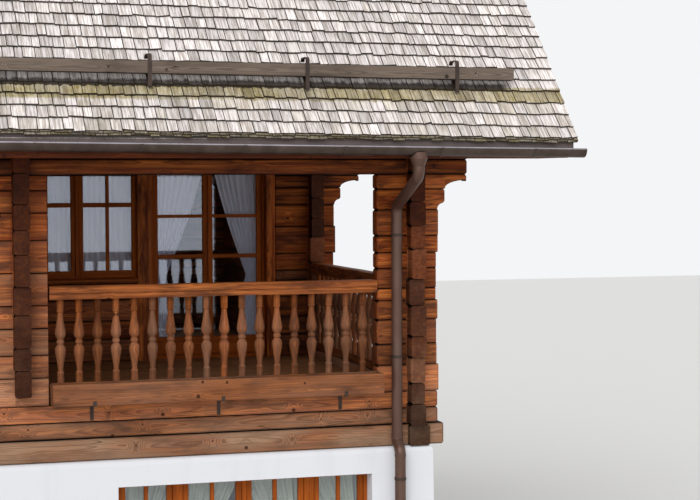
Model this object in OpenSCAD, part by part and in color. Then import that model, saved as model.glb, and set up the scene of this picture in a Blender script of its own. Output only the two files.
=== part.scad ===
// Alpine chalet: rendered masonry ground floor, squared-log upper storey with two corner
// loggias, steep gabled roof of wooden shingles. Millimetres, +Z up, front towards -Y.
// The origin is on the ground under the middle of the house.

/* [Plan] */
// Distance between the centre lines of the two gable walls
house_len = 10700; // [9800:50:11800]
// Distance between the centre lines of the front and rear log walls
house_dep = 7860; // [7300:20:8400]
// Distance from the front wall to the back wall of each loggia
loggia_dep = 3450; // [3000:10:3900]
// Distance from a gable wall to the partition beside its loggia
loggia_len = 3610; // [3300:10:3900]
// Length of the corner pier along the front, from the gable wall's centre line
pier_front = 358; // [330:1:520]
// Length of the corner pier along the gable, from the front wall's centre line
pier_side = 520; // [400:1:700]
// Reach of the middle wall's logs beyond the partition's centre line
part_stub = 246; // [200:1:320]

/* [Storeys] */
// Height of the masonry ground floor
masonry_h = 2550; // [2350:5:2750]
// Height of the three sill logs, from the masonry to the upper floor
sill_h = 500; // [460:5:560]
// Height from the upper floor to the underside of the lintel log
lintel_rise = 2020; // [1960:5:2120]
// Height of the lintel log
lintel_h = 140; // [120:1:180]
// Height from the lintel log's top to the ceiling
ceil_rise = 90; // [60:5:130]
// Height of the two logs above the lintel, each
top_log_h = 210; // [180:5:240]
// Height of each log in the gable triangles
gable_log_h = 230; // [200:5:260]

/* [Logs] */
// Thickness of the log walls
log_t = 140; // [120:1:160]
// Thickness of the lowest sill logs
sill_t = 195; // [170:1:220]
// Chamfer along the edges of a log
log_edge = 8; // [3:1:14]
// Gap between two courses of logs
seam = 0.5; // [0.3:0.1:0.8]
// Reach of the cross logs' heads in front of a wall face
head_len = 150; // [100:1:190]
// Reach of the long logs' ends beyond the gable wall's face
stub_len = 165; // [140:1:190]
// Further reach of the lowest sill logs' ends
sill_more = 50; // [20:1:60]
// Reach of the lowest cross logs' heads in front of the front and rear faces
sill_head = 100; // [80:1:120]
// Share of a log's height that is notched away above and below at a crossing
lap = 0.25; // [0.2:0.01:0.3]

/* [Masonry] */
// Thickness of the masonry walls
masonry_t = 450; // [380:5:520]
// How far the render stands proud of the log face at the front and rear
proud_front = 95; // [70:1:120]
// How far the render stands proud of the log face at the gables
proud_side = 85; // [60:1:130]
// Radius of the rounded top edge
ledge_r = 45; // [20:1:60]
// Radius of the vertical corners
corner_r = 70; // [30:1:120]
// Widening of the walls towards the ground
batter = 25; // [0:1:40]
// Thickness of the slab on the ground
slab_h = 200; // [150:5:260]

/* [Floors] */
// Depth of the floor joists
joist_h = 270; // [220:5:290]
// Width of the floor joists
joist_w = 160; // [120:5:200]
// Number of floor joists
joist_n = 11; // [7:1:15]
// Distance of the outer joists from the gable walls
joist_end = 230; // [200:5:300]
// Thickness of the attic floor
attic_h = 100; // [70:5:140]

/* [Roof] */
// Pitch of the roof in degrees
pitch = 48.5; // [45:0.5:52]
// Height of the shingles' lower edge above the lintel's top
eave_rise = 216; // [200:1:240]
// Reach of the shingles' edge beyond the log face
eave_out = 700; // [640:5:760]
// Reach of the roof beyond the gable wall's centre line
verge_out = 1305; // [1100:5:1400]
// Thickness of the shingle covering at a butt
shingle_t = 60; // [50:1:70]
// Height of the step at each course of shingles
butt_step = 16; // [10:1:22]
// Exposed length of each course
exposure = 144; // [110:1:160]
// Thickness of the roof boards
board_t = 24; // [20:1:30]
// Depth of the rafters
rafter_d = 160; // [140:1:180]
// Width of the rafters
rafter_w = 100; // [80:1:120]
// Number of rafter spaces from the middle of the house to a gable wall
rafter_spaces = 6; // [5:1:8]
// Width of the middle purlins and of the ridge purlin
purlin_w = 180; // [150:1:200]
// Height of the middle purlins' outer face
purlin_h = 200; // [160:1:240]
// Distance of the middle purlins from the ridge line, in plan
purlin_y = 2000; // [1700:10:2300]
// Thickness of the barge boards, fascia boards and ridge boards
trim_t = 28; // [20:1:34]
// Depth of the barge boards
barge_d = 190; // [170:1:220]
// Width of the ridge boards
ridge_w = 190; // [150:1:240]
// Thickness of the soffit boards
soffit_t = 18; // [14:1:24]

/* [Gutters] */
// Outer radius of the half-round gutters
gutter_r = 75; // [65:1:85]
// Wall of the gutters
gutter_t = 3; // [2:0.5:5]
// Width of the gutter brackets
bracket_w = 28; // [20:1:40]
// Thickness of the gutter brackets
bracket_t = 4; // [3:1:6]
// Reach of the gutters beyond the roof's verge
gutter_over = 80; // [40:1:100]
// Depth of the gutter's rim below the shingles' lower edge
rim_drop = 128; // [115:1:140]
// Outer radius of the downpipes
pipe_r = 50; // [40:1:55]
// Wall of the downpipes
pipe_t = 3; // [2:0.5:5]
// Distance of the downpipes from the gable wall's centre line
pipe_in = 200; // [190:1:210]
// Space between an upper downpipe and the log face
pipe_gap = 50; // [45:1:60]
// Angle of the swan neck from the vertical
neck_angle = 66; // [60:1:70]
// Radius of the swan neck's bends
neck_r = 90; // [80:1:110]
// Angle of the lower offset from the vertical
offset_angle = 45; // [40:1:50]
// Radius of the lower offset's bends
offset_r = 60; // [55:1:75]
// Length of the collars that slip over the downpipes' ends
collar_h = 24; // [20:1:40]
// Distance of the upper downpipe's top clip below the lintel
clip_drop = 570; // [450:10:650]
// Height of the upper downpipe's lower clip above the upper floor
clip_rise = 330; // [250:10:450]
// Distance of the lower downpipe's top clip below the top of the masonry
ledge_drop = 290; // [200:10:400]
// Height of the lower downpipe's lower clip above the slab
foot_rise = 500; // [300:10:700]
// Thickness of the metal strip that leads from the eave into the gutter
flash_t = 2; // [1.5:0.5:3]

/* [Snow guards] */
// Height of the snow-guard timber
snow_h = 112; // [90:1:130]
// Depth of the snow-guard timber
snow_d = 95; // [80:1:120]
// Distance of the timber's face inwards of the shingles' edge, in plan
snow_up = 335; // [300:5:400]
// Distance of the timber's end from the verge
snow_in = 455; // [300:5:500]
// Spacing of the hooks
hook_pitch = 1411; // [1200:1:1500]
// Width of a hook's iron
hook_w = 36; // [30:1:50]
// Thickness of a hook's iron
hook_t = 8; // [6:1:12]
// Height of a hook's curl above the timber
curl_h = 62; // [50:1:75]
// Depth of a hook's curl, over the timber
curl_d = 170; // [150:1:190]

/* [Balustrade] */
// Height of the handrail's top above the upper floor
rail_h = 1047; // [1000:1:1100]
// Depth of the handrail across its top
rail_w = 176; // [150:1:190]
// Height of the handrail's cap
cap_h = 60; // [50:1:70]
// Height of the rail under the cap
under_h = 54; // [45:1:65]
// Height of the bottom rail's top above the floor
low_rail_z = 173; // [150:1:200]
// Height of the bottom rail
low_rail_h = 85; // [70:1:95]
// Greatest radius of a baluster
belly_r = 48; // [42:1:54]
// Balusters along the front of a loggia
front_balusters = 18; // [14:1:20]
// Balusters along the side of a loggia
side_balusters = 16; // [12:1:18]
// Distance from the middle wall's stub ends to the first baluster
first_gap = 100; // [85:1:120]
// Distance from the last baluster to the corner pier
last_gap = 121; // [85:1:130]
// How far the side rail stands inwards of the gable wall's centre line
side_rail_in = 10; // [0:1:30]
// Height of a flower trough
trough_h = 190; // [160:1:220]
// Depth of a flower trough
trough_d = 190; // [150:1:220]
// Width of a trough bracket's iron
iron_w = 30; // [20:1:40]
// Thickness of a trough bracket's iron
iron_t = 7; // [5:1:9]

/* [Openings] */
// Width of the double windows in the log walls
win_w = 1304; // [1100:1:1400]
// Height of the loggia window
loggia_win_h = 1278; // [1150:1:1290]
// Width of the french doors
french_w = 1283; // [1150:1:1400]
// Width of the post between the loggia window and the french doors
post_w = 174; // [140:1:200]
// Width of the other jamb posts
jamb_w = 103; // [80:1:120]
// Distance from the gable wall's centre line to the french doors' jamb post
jamb_in = 559; // [480:1:620]
// Height of the windows in the other log walls
wall_win_h = 1185; // [1000:5:1200]
// Spacing of the rear windows
rear_pitch = 2600; // [2300:20:2700]
// Distance of the gable windows behind the middle of the house
gable_win_y = 1725; // [1500:5:1900]
// Height of the attic windows' foot above the attic floor
attic_sill = 900; // [800:10:1000]
// Height of the attic windows
attic_win_h = 1000; // [900:10:1100]
// Reach of the sill boards in front of the log wall
board_out = 45; // [30:1:60]
// Height of the ribbon windows
ribbon_h = 1165; // [1000:5:1200]
// Width of the ribbon windows
ribbon_w = 2345; // [2200:5:2450]
// Distance of the ribbon windows' middle from the middle of the house
ribbon_x = 3734; // [3650:2:3780]
// Depth of the masonry left above the ground-floor windows
ribbon_drop = 235; // [200:5:300]
// Width of each of the two middle sashes of a ribbon window
ribbon_mid = 545; // [500:5:580]
// Width of the posts beside the middle sashes
ribbon_post = 93; // [60:1:110]
// Width of the post between the middle sashes
ribbon_meet = 41; // [30:1:60]
// Width of the small windows in the masonry
small_w = 1100; // [900:10:1200]
// Distance of the small side windows from the middle of the house
small_y = 1900; // [1700:10:2100]
// Width of the entrance door
door_w = 1100; // [1000:10:1200]
// Height of the entrance door
door_h = 2080; // [2000:5:2120]
// Depth of a window frame
frame_d = 80; // [60:1:100]
// Width of a window's casing
casing = 35; // [25:1:45]
// Width of a sash's stiles
stile = 52; // [40:1:60]
// Thickness of the glazing
glass_t = 20; // [12:1:28]
// Depth of a curtain's folds
curtain_t = 50; // [40:1:60]
// Distance of the loggia curtains behind the log wall
curtain_gap = 28; // [20:1:30]

/* [Hidden] */

fit = 0.3;
far = 20000;
half_len = house_len / 2;
half_dep = house_dep / 2;
face_y = half_dep + log_t / 2;
face_x = half_len + log_t / 2;
back_y = -half_dep + loggia_dep;
part_x = half_len - loggia_len;

floor_z = masonry_h + sill_h;
lintel_z = floor_z + lintel_rise;
lintel_top = lintel_z + lintel_h;
ceil_z = lintel_top + ceil_rise;

// Joints between the courses, as shares of the height that each stack fills
SILL = [0, 0.40, 0.69, 1];
WALL = [0, 0.122, 0.221, 0.337, 0.436, 0.577, 0.719, 0.837, 0.933, 1];
PIER = [0, 0.122, 0.221, 0.332, 0.421, 0.477, 0.569, 0.641, 0.719, 0.837, 0.933, 1];
BACK = [0, 0.122, 0.221, 0.332, 0.421, 0.477, 0.569, 0.719, 0.837, 0.933, 1];
CROSS = [0, 0.071, 0.143, 0.214, 0.300, 0.371, 0.476, 0.565, 0.666, 0.743, 0.824, 0.922, 1];
function joints(shares, z0, z1) = [for (s = shares) z0 + s * (z1 - z0)];
sill_z = joints(SILL, masonry_h, floor_z);
wall_z = joints(WALL, floor_z, lintel_z);
pier_z = joints(PIER, floor_z, lintel_z);
back_z = concat(joints(BACK, floor_z, lintel_z), [ceil_z]);
cross_z = joints(CROSS, masonry_h, ceil_z);
top_z = [lintel_z, lintel_top, lintel_top + top_log_h, lintel_top + 2 * top_log_h];
first_open = 3;
last_open = len(cross_z) - 3;

// Roof planes: heights above the ground at a distance y from the ridge line
roof_t = board_t + shingle_t;
eave_y = face_y + eave_out;
eave_z = lintel_top + eave_rise;
ridge_z = eave_z + eave_y * tan(pitch) - roof_t / cos(pitch);
function boards_z(y) = ridge_z - y * tan(pitch);
function under_z(y) = boards_z(y) - rafter_d / cos(pitch);
function under_y(z) = (under_z(0) - z) / tan(pitch);
// Distance down the slope, from the ridge, of the shingles' edge
slope_len = (eave_y - roof_t * sin(pitch)) / cos(pitch);
verge_x = half_len + verge_out;
gutter_y = eave_y + trim_t;
rim_z = eave_z - rim_drop;
tail_y = gutter_y - gutter_r - bracket_t - 2 * fit - trim_t;
function shingles_z(y) = eave_z + (eave_y - y) * tan(pitch);
// Face of the masonry at a height z
function masonry_y(z) = outer_y + batter * (1 - z / (masonry_h - ledge_r));
soffit_z = lintel_top + 6;
barge_x = verge_x - 65;
rafter_pitch = half_len / rafter_spaces;

module both_ends() {
    children();
    mirror([1, 0, 0]) children();
}

module both_sides() {
    children();
    mirror([0, 1, 0]) children();
}

// Cross-section of a log, chamfered along its edges
module log_section(t, z0, z1) {
    c = log_edge;
    a = z0 + seam / 2;
    b = z1 - seam / 2;
    polygon([[-t / 2 + c, a], [t / 2 - c, a], [t / 2, a + c], [t / 2, b - c],
             [t / 2 - c, b], [-t / 2 + c, b], [-t / 2, b - c], [-t / 2, a + c]]);
}

// A log along X, from x0 to x1
module log_x(x0, x1, y, z0, z1, t = log_t)
    translate([x0, y, 0]) rotate([90, 0, 90]) linear_extrude(x1 - x0) log_section(t, z0, z1);

// A log along Y, from y0 to y1
module log_y(y0, y1, x, z0, z1, t = log_t)
    translate([x, y1, 0]) rotate([90, 0, 0]) linear_extrude(y1 - y0) log_section(t, z0, z1);

module block(x0, x1, y0, y1, z0, z1)
    translate([x0, y0, z0]) cube([x1 - x0, y1 - y0, z1 - z0]);

// Heights between which a long log keeps its wood at a crossing
function keep_low(z, i) = z[i] + lap * (z[i + 1] - z[i]);
function keep_high(z, i) = z[i + 1] - lap * (z[i + 1] - z[i]);

// What a crossing at x takes from course i of a long log
module notch_x(z, i, x, y, t, low, high) {
    block(x - t / 2 - fit, x + t / 2 + fit, y - far, y + far, z[i] - 1, low);
    block(x - t / 2 - fit, x + t / 2 + fit, y - far, y + far, high, z[i + 1] + 1);
}

// Course i of a stack of long logs, notched at each crossing in xs, and only from below at each
// crossing in ends, where a cross wall ends under the log's middle
module long_log(z, i, x0, x1, y, xs, t = log_t, ends = [])
    difference() {
        log_x(x0, x1, y, z[i], z[i + 1], t);
        for (x = xs) notch_x(z, i, x, y, t, keep_low(z, i), keep_high(z, i));
        for (x = ends) notch_x(z, i, x, y, t, keep_low(z, i), z[i + 1]);
    }

// The wood that the long logs of a stack keep at a crossing, as cuts for the cross logs
module kept(z, y, t = log_t)
    for (i = [0:len(z) - 2])
        block(-far, far, y - t / 2 - fit, y + t / 2 + fit, keep_low(z, i) - fit, keep_high(z, i) + fit);

// The lowest sill logs lie one over the other at the corners
sill_low = masonry_h + 0.5 * (cross_z[1] - masonry_h);
sill_high = sill_z[1];
// The lowest cross logs are flush with the gable wall inside
sill_x = half_len + (sill_t - log_t) / 2;

// Cuts that the long logs make in the cross logs of a gable wall
module gable_cuts() {
    both_sides() {
        block(-far, far, -half_dep - sill_t / 2 - fit, -half_dep + sill_t / 2 + fit,
              sill_low - fit, sill_high + fit);
        kept([sill_z[1], sill_z[2], sill_z[3]], -half_dep);
        kept(top_z, -half_dep);
    }
    kept(pier_z, -half_dep);
    kept(wall_z, half_dep);
    kept(back_z, back_y);
}

// Everything above the underside of the rafters
module above_roof()
    both_sides() translate([-far, 0, under_z(0)]) rotate([pitch, 0, 0])
        translate([0, -far, 0]) cube([2 * far, far + house_dep / 4, far]);

// A purlin under the rafters: its top follows the slope
module purlin_section(y, w, z0) {
    a = y - w / 2;
    b = y + w / 2;
    polygon([[-a, z0], [-b, z0], [-b, under_z(b) - fit], [-a, under_z(a) - fit]]);
}

module ridge_section(w, z0)
    polygon([[-w / 2, z0], [w / 2, z0], [w / 2, under_z(w / 2) - fit],
             [0, under_z(0) - fit], [-w / 2, under_z(w / 2) - fit]]);

module along_x(x0, x1) translate([x0, 0, 0]) rotate([90, 0, 90]) linear_extrude(x1 - x0) children();

purlin_z = under_z(purlin_y + purlin_w / 2) - purlin_h;
ridge_low = under_z(purlin_w / 2) - purlin_h;

// MASONRY

module masonry_profile(half, h) {
    a = [for (i = [0:4]) [half - ledge_r + ledge_r * cos(i * 22.5), h - ledge_r + ledge_r * sin(i * 22.5)]];
    b = [for (i = [4:-1:0]) [-a[i][0], a[i][1]]];
    polygon(concat([[-half - batter, 0], [half + batter, 0]], a, b));
}

outer_x = face_x + proud_side;
outer_y = face_y + proud_front;

module masonry_shell()
    difference() {
        intersection() {
            translate([-far / 2, 0, 0]) rotate([90, 0, 90]) linear_extrude(far) masonry_profile(outer_y, masonry_h);
            translate([0, far / 2, 0]) rotate([90, 0, 0]) linear_extrude(far) masonry_profile(outer_x, masonry_h);
            union() {
                block(-outer_x - batter + corner_r, outer_x + batter - corner_r, -far, far, 0, masonry_h);
                block(-far, far, -outer_y - batter + corner_r, outer_y + batter - corner_r, 0, masonry_h);
                both_ends() both_sides()
                    translate([outer_x + batter - corner_r, outer_y + batter - corner_r, 0])
                        cylinder(r = corner_r, h = masonry_h, $fn = 48);
            }
        }
        block(-outer_x + masonry_t, outer_x - masonry_t, -outer_y + masonry_t, outer_y - masonry_t,
              -1, masonry_h + 1);
        masonry_openings();
    }

ribbon_z = masonry_h - ribbon_drop - ribbon_h;

// A clear hole through a wall, in the wall's own frame
module hole(x, z, w, h) block(x - w / 2, x + w / 2, -far, 0, z, z + h);

module to_right() rotate([0, 0, 90]) children();

module masonry_openings() {
    both_ends() hole(ribbon_x, ribbon_z, ribbon_w, ribbon_h);
    hole(0, ribbon_z, small_w, ribbon_h);
    rotate([0, 0, 180]) {
        both_ends() hole(ribbon_x, ribbon_z, ribbon_w, ribbon_h);
        hole(0, slab_h, door_w, door_h);
    }
    both_ends() to_right() both_ends() hole(small_y, ribbon_z, small_w, ribbon_h);
}

module masonry_front() color("white")
    intersection() {
        masonry_shell();
        block(-far, far, -far, -outer_y + masonry_t, -1, far);
    }

module masonry_rear() color("white")
    intersection() {
        masonry_shell();
        block(-far, far, outer_y - masonry_t, far, -1, far);
    }

module masonry_side() color("white")
    intersection() {
        masonry_shell();
        block(0, far, -outer_y + masonry_t + fit, outer_y - masonry_t - fit, -1, far);
    }

module masonry_sides() both_ends() masonry_side();

module ground_slab() color("lightgrey")
    block(-outer_x + masonry_t + fit, outer_x - masonry_t - fit,
          -outer_y + masonry_t + fit, outer_y - masonry_t - fit, 0, slab_h);

// FLOORS

module floor_joists() color("burlywood")
    for (i = [0:joist_n - 1])
        let (span = half_len - log_t / 2 - joist_end - joist_w / 2, x = -span + 2 * span * i / (joist_n - 1))
            block(x - joist_w / 2, x + joist_w / 2, -half_dep + sill_t / 2 + fit, half_dep - sill_t / 2 - fit,
                  masonry_h, masonry_h + joist_h);

module upper_floor() color("burlywood")
    block(-half_len + log_t / 2 + fit, half_len - log_t / 2 - fit,
          -half_dep + log_t / 2 + fit, half_dep - log_t / 2 - fit, masonry_h + joist_h, floor_z);

module attic_floor() color("burlywood")
    block(-half_len + log_t / 2 + fit, half_len - log_t / 2 - fit,
          -half_dep + log_t / 2 + fit, half_dep - log_t / 2 - fit, ceil_z, ceil_z + attic_h);

// LOG WALLS

stub_end = face_x + stub_len;
sill_end = stub_end + sill_more;

module sill_stack(y) {
    difference() {
        log_x(-sill_end, sill_end, y, sill_z[0], sill_z[1], sill_t);
        both_ends() notch_x(sill_z, 0, sill_x, y, sill_t, sill_low, sill_high);
    }
    for (i = [1, 2]) long_log(sill_z, i, -stub_end, stub_end, y, [-half_len, half_len]);
}

module sill_logs() color("peru") {
    sill_stack(-half_dep);
    sill_stack(half_dep);
}

module middle_wall_front() color("peru")
    difference() {
        union()
            for (i = [0:len(wall_z) - 2])
                long_log(wall_z, i, -part_x - part_stub, part_x + part_stub, -half_dep, [-part_x, part_x]);
        hole(0, wall_win_z, win_w, wall_win_h);
    }

wall_win_z = wall_z[8] - wall_win_h;
// Reach of the corbelled courses beyond the stub ends, and the height of their hollows as a share
console_out = [74, 290, 410];
hollow = [0.33, 0.6, 0.7];

// Course i of a stack from x0 beyond the gable wall: its last courses, steps in number, are
// corbelled out one over the other, each with a hollow curve under its end
module corbelled(z, i, x0, y, xs, steps) {
    k = i - (len(z) - 1 - steps);
    reach = k < 0 ? 0 : console_out[k];
    difference() {
        long_log(z, i, x0, stub_end + reach, y, xs);
        if (k >= 0)
            translate([stub_end + reach, 0, z[i]])
                hollow_curve(reach - (k == 0 ? 0 : console_out[k - 1]), hollow[k] * (z[i + 1] - z[i]));
    }
}

// A quarter-round hollow of width w and height h, its middle at the end's lower corner
module hollow_curve(w, h)
    rotate([90, 0, 0]) linear_extrude(2 * far, center = true)
        polygon(concat([[1, -1], [1, h]], [for (a = [90:15:180]) [w * cos(a), h * sin(a)]], [[-w, -1]]));

module corner_piers() color("peru") both_ends()
    for (i = [0:len(pier_z) - 2]) corbelled(pier_z, i, half_len - pier_front, -half_dep, [half_len], 2);

jamb_x = half_len - jamb_in;
french_x = jamb_x - french_w / 2;
post_x = jamb_x - french_w - post_w;
loggia_win_z = lintel_top - 10 - loggia_win_h;
loggia_head = lintel_top - 10;

module loggia_holes() {
    block(post_x - win_w - jamb_w, post_x, back_y - log_t, back_y + log_t, loggia_win_z, loggia_head);
    block(post_x - fit, jamb_x + jamb_w, back_y - log_t, back_y + log_t, floor_z - 1, loggia_head);
}

module loggia_back_wall() {
    difference() {
        union()
            for (i = [0:len(back_z) - 2])
                corbelled(back_z, i, part_x - log_t / 2, back_y, [part_x, half_len], 3);
        loggia_holes();
    }
    post = log_t / 2 + 12;
    block(post_x + fit, post_x + post_w - fit, back_y - post, back_y + post, floor_z, loggia_head - fit);
    block(jamb_x + fit, jamb_x + jamb_w - fit, back_y - post, back_y + post, floor_z, loggia_head - fit);
    block(post_x - win_w - jamb_w + fit, post_x - win_w - fit, back_y - post, back_y + post,
          loggia_win_z, loggia_head - fit);
}

module loggia_back_walls() color("peru") both_ends() loggia_back_wall();

module partition_wall() {
    n = len(cross_z) - 2;
    difference() {
        union() {
            log_y(-face_y, back_y + log_t / 2, part_x, floor_z, cross_z[first_open]);
            for (j = [first_open:n])
                log_y(-face_y - head_len, back_y + log_t / 2, part_x, cross_z[j], cross_z[j + 1]);
        }
        kept(wall_z, -half_dep);
        kept(top_z, -half_dep);
        kept(back_z, back_y);
        under_soffit();
    }
}

// Takes away what stands in front of the log faces above the soffits
module under_soffit() both_sides() block(0, far, -far, -face_y - fit, soffit_z - 1, far);

module partition_walls() color("sienna") both_ends() partition_wall();

module log_wall_rear() color("peru")
    difference() {
        union()
            for (i = [0:len(wall_z) - 2])
                long_log(wall_z, i, -stub_end, stub_end, half_dep, [-half_len, half_len]);
        rotate([0, 0, 180]) for (x = rear_windows) hole(x, wall_win_z, win_w, wall_win_h);
    }

rear_windows = [for (k = [-1.5:1:1.5]) k * rear_pitch];
attic_win_z = ceil_z + attic_h + attic_sill;

module gable_wall() {
    n = len(cross_z) - 2;
    end_y = face_y + head_len;
    difference() {
        union() {
            log_y(-face_y - sill_head, face_y + sill_head, sill_x, cross_z[0], cross_z[1], sill_t);
            for (j = [1:first_open - 1]) log_y(-end_y, end_y, half_len, cross_z[j], cross_z[j + 1]);
            for (j = [first_open:last_open]) {
                log_y(-end_y, -half_dep + pier_side, half_len, cross_z[j], cross_z[j + 1]);
                log_y(back_y - log_t / 2 - head_len, end_y, half_len, cross_z[j], cross_z[j + 1]);
            }
            for (j = [last_open + 1:n]) log_y(-end_y, end_y, half_len, cross_z[j], cross_z[j + 1]);
            difference() {
                for (k = [0:gable_courses - 1])
                    let (z = ceil_z + k * gable_log_h, y = min(face_y, under_y(z) + log_edge))
                        log_y(-y, y, half_len, z, min(z + gable_log_h, gable_top));
                above_roof();
                hole_gable(0, attic_win_z, attic_win_h);
            }
        }
        gable_cuts();
        purlin_room();
        under_soffit();
        hole_gable(gable_win_y, wall_win_z, wall_win_h);
    }
}

gable_top = ridge_low - fit;
gable_courses = ceil((gable_top - ceil_z) / gable_log_h);

module hole_gable(y, z, h) block(0, far, y - win_w / 2, y + win_w / 2, z, z + h);

// Room for the purlins that pass through the gable walls
module purlin_room() {
    both_sides() {
        block(0, far, -face_y - fit, -face_y + log_t + fit, top_z[3] - fit, far);
        block(0, far, -purlin_y - purlin_w / 2 - fit, -purlin_y + purlin_w / 2 + fit, purlin_z - fit, far);
    }
}

module gable_wall_right() color("sienna") gable_wall();
module gable_wall_left() color("sienna") mirror([1, 0, 0]) gable_wall();

// Reach of the lintel and of the two logs above it beyond the stub ends
top_reach = [290, 500, 720];

// The lintel and the two logs above it, with crossings at the partition walls at xs
module top_stack(xs)
    for (i = [0:2])
        difference() {
            long_log(top_z, i, -stub_end - top_reach[i], stub_end + top_reach[i], -half_dep,
                     concat([-half_len, half_len], i == 0 ? xs : []), ends = i == 1 ? xs : []);
            if (i > 0)
                both_ends() translate([stub_end + top_reach[i], 0, top_z[i]])
                    hollow_curve(top_reach[i] - top_reach[i - 1], hollow[2] * (top_z[i + 1] - top_z[i]));
        }

module eave_logs() color("peru") {
    top_stack([-part_x, part_x]);
    mirror([0, 1, 0]) top_stack([]);
}

module purlins() color("peru") {
    both_sides() {
        along_x(-barge_x + fit, barge_x - fit) purlin_section(half_dep, log_t, top_z[3]);
        along_x(-barge_x + fit, barge_x - fit) purlin_section(purlin_y, purlin_w, purlin_z);
    }
    along_x(-barge_x + fit, barge_x - fit) ridge_section(purlin_w, ridge_low);
}

// ROOF

// Side view of a rafter or barge board of depth d, its tail cut level at z
module rafter_profile(d, z) {
    low = d / cos(pitch);
    y_cut = (ridge_z - low - z) / tan(pitch);
    polygon([[-fit, ridge_z], [-fit, ridge_z - low], [-y_cut, z], [-tail_y, z], [-tail_y, boards_z(tail_y)]]);
}

module rafters() color("burlywood") both_sides()
    for (k = [-rafter_spaces - 1:rafter_spaces + 1])
        along_x(k * rafter_pitch - rafter_w / 2, k * rafter_pitch + rafter_w / 2)
            rafter_profile(rafter_d, soffit_z + soffit_t);

module barge_boards() color("saddlebrown") both_ends() both_sides()
    along_x(barge_x, barge_x + trim_t) rafter_profile(barge_d, soffit_z);

// Places a shape drawn down the slope: x runs up the slope to the ridge, y is square to it
module down_slope(x0, x1)
    translate([0, 0, ridge_z]) rotate([pitch, 0, 0]) along_x(x0, x1) children();

module roof_boards() color("burlywood") both_sides()
    down_slope(-verge_x + 15, verge_x - 15)
        polygon([[-slope_len + 30, fit], [0, fit], [board_t * tan(pitch) - fit, board_t],
                 [-slope_len + 30, board_t]]);

courses = floor(slope_len / exposure);

module shingle_slope()
    down_slope(-verge_x, verge_x)
        polygon(concat(
            [[-slope_len, board_t + fit]],
            [for (i = [0:courses - 1]) for (k = [0, 1])
                [-slope_len + (i + k) * exposure, roof_t - k * butt_step]],
            [[-slope_len + courses * exposure, roof_t], [roof_t * tan(pitch) - fit, roof_t],
             [(board_t + fit) * tan(pitch) - fit, board_t + fit]]));

module shingles_front() color("darkgray") shingle_slope();
module shingles_rear() color("darkgray") mirror([0, 1, 0]) shingle_slope();

module ridge_boards() color("gray") both_sides()
    down_slope(-verge_x - 10, verge_x + 10)
        polygon([[-ridge_w, roof_t + fit], [(roof_t + fit) * tan(pitch) - fit, roof_t + fit],
                 [(roof_t + trim_t) * tan(pitch) - fit, roof_t + trim_t], [-ridge_w, roof_t + trim_t]]);

module fascia_boards() color("saddlebrown") both_sides()
    block(-barge_x - trim_t, barge_x + trim_t, -tail_y - trim_t, -tail_y - fit, soffit_z,
          boards_z(tail_y + trim_t) - 4);

module soffits() color("peru") both_sides()
    block(-barge_x + fit, barge_x - fit, -tail_y, -face_y - fit, soffit_z, soffit_z + soffit_t);

// GUTTERS

module half_ring(r, t)
    difference() {
        circle(r = r, $fn = 64);
        circle(r = r - t, $fn = 64);
        translate([-2 * r, 0]) square([4 * r, 2 * r]);
    }

gutter_x = verge_x + gutter_over;

// A thin metal strip from under the shingles' edge down over the gutter's rear rim
module eave_flashing() color("dimgray") both_sides()
    along_x(-verge_x + 15, verge_x - 15)
        let (a = tail_y + trim_t + fit, b = gutter_y - gutter_r + gutter_t + 4, t = flash_t,
             top = shingles_z(a + t) - shingle_t / cos(pitch) - 2 * fit)
            polygon([[-a, top], [-a, rim_z + 14], [-b, rim_z + 5], [-b, rim_z - 12], [-b - t, rim_z - 12],
                     [-b - t, rim_z + 6], [-a - t, rim_z + 15], [-a - t, top]]);

module gutters() color("dimgray") both_sides() translate([0, -gutter_y, rim_z]) {
    along_x(-gutter_x, gutter_x) half_ring(gutter_r, gutter_t);
    both_ends() along_x(gutter_x, gutter_x + gutter_t)
        difference() {
            circle(r = gutter_r, $fn = 64);
            translate([-2 * gutter_r, 0]) square([4 * gutter_r, 2 * gutter_r]);
        }
}

module gutter_brackets() color("dimgray") both_sides()
    for (k = [-rafter_spaces - 1:rafter_spaces + 1])
        translate([0, -gutter_y, rim_z]) along_x(k * rafter_pitch - bracket_w / 2, k * rafter_pitch + bracket_w / 2)
            half_ring(gutter_r + fit + bracket_t, bracket_t);

pipe_x = half_len - pipe_in;
upper_pipe_y = face_y + pipe_gap + pipe_r;
lower_pipe_y = outer_y + pipe_gap + pipe_r;
funnel_r = 76;
funnel_top = rim_z - 35;
funnel_rim = rim_z - 95;
funnel_low = rim_z - gutter_r - 85;

// A bend in the plane of Y and Z: enters upwards at the origin, turns through a towards -Y
module bend(r, a, w)
    translate([0, -r, 0]) rotate([0, 0, 90]) rotate([90, 0, 0])
        rotate_extrude(angle = a, $fn = 96) translate([r, 0]) circle(r = w, $fn = 48);

function jog_len(r, a, run) = (run - 2 * r * (1 - cos(a))) / sin(a);
function jog_h(r, a, run) = 2 * r * sin(a) + jog_len(r, a, run) * cos(a);

// An offset that runs up from the origin and ends out by run towards -Y: its bends are a little
// wider than the straight between them
module jog(r, a, run, w) {
    bend(r, a, w + socket);
    translate([0, -r * (1 - cos(a)), r * sin(a)]) rotate([a, 0, 0])
        translate([0, 0, -pipe_lap]) cylinder(r = w, h = jog_len(r, a, run) + 2 * pipe_lap, $fn = 48);
    translate([0, -run, jog_h(r, a, run)]) rotate([0, 0, 180]) mirror([0, 0, 1]) bend(r, a, w + socket);
}

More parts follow.
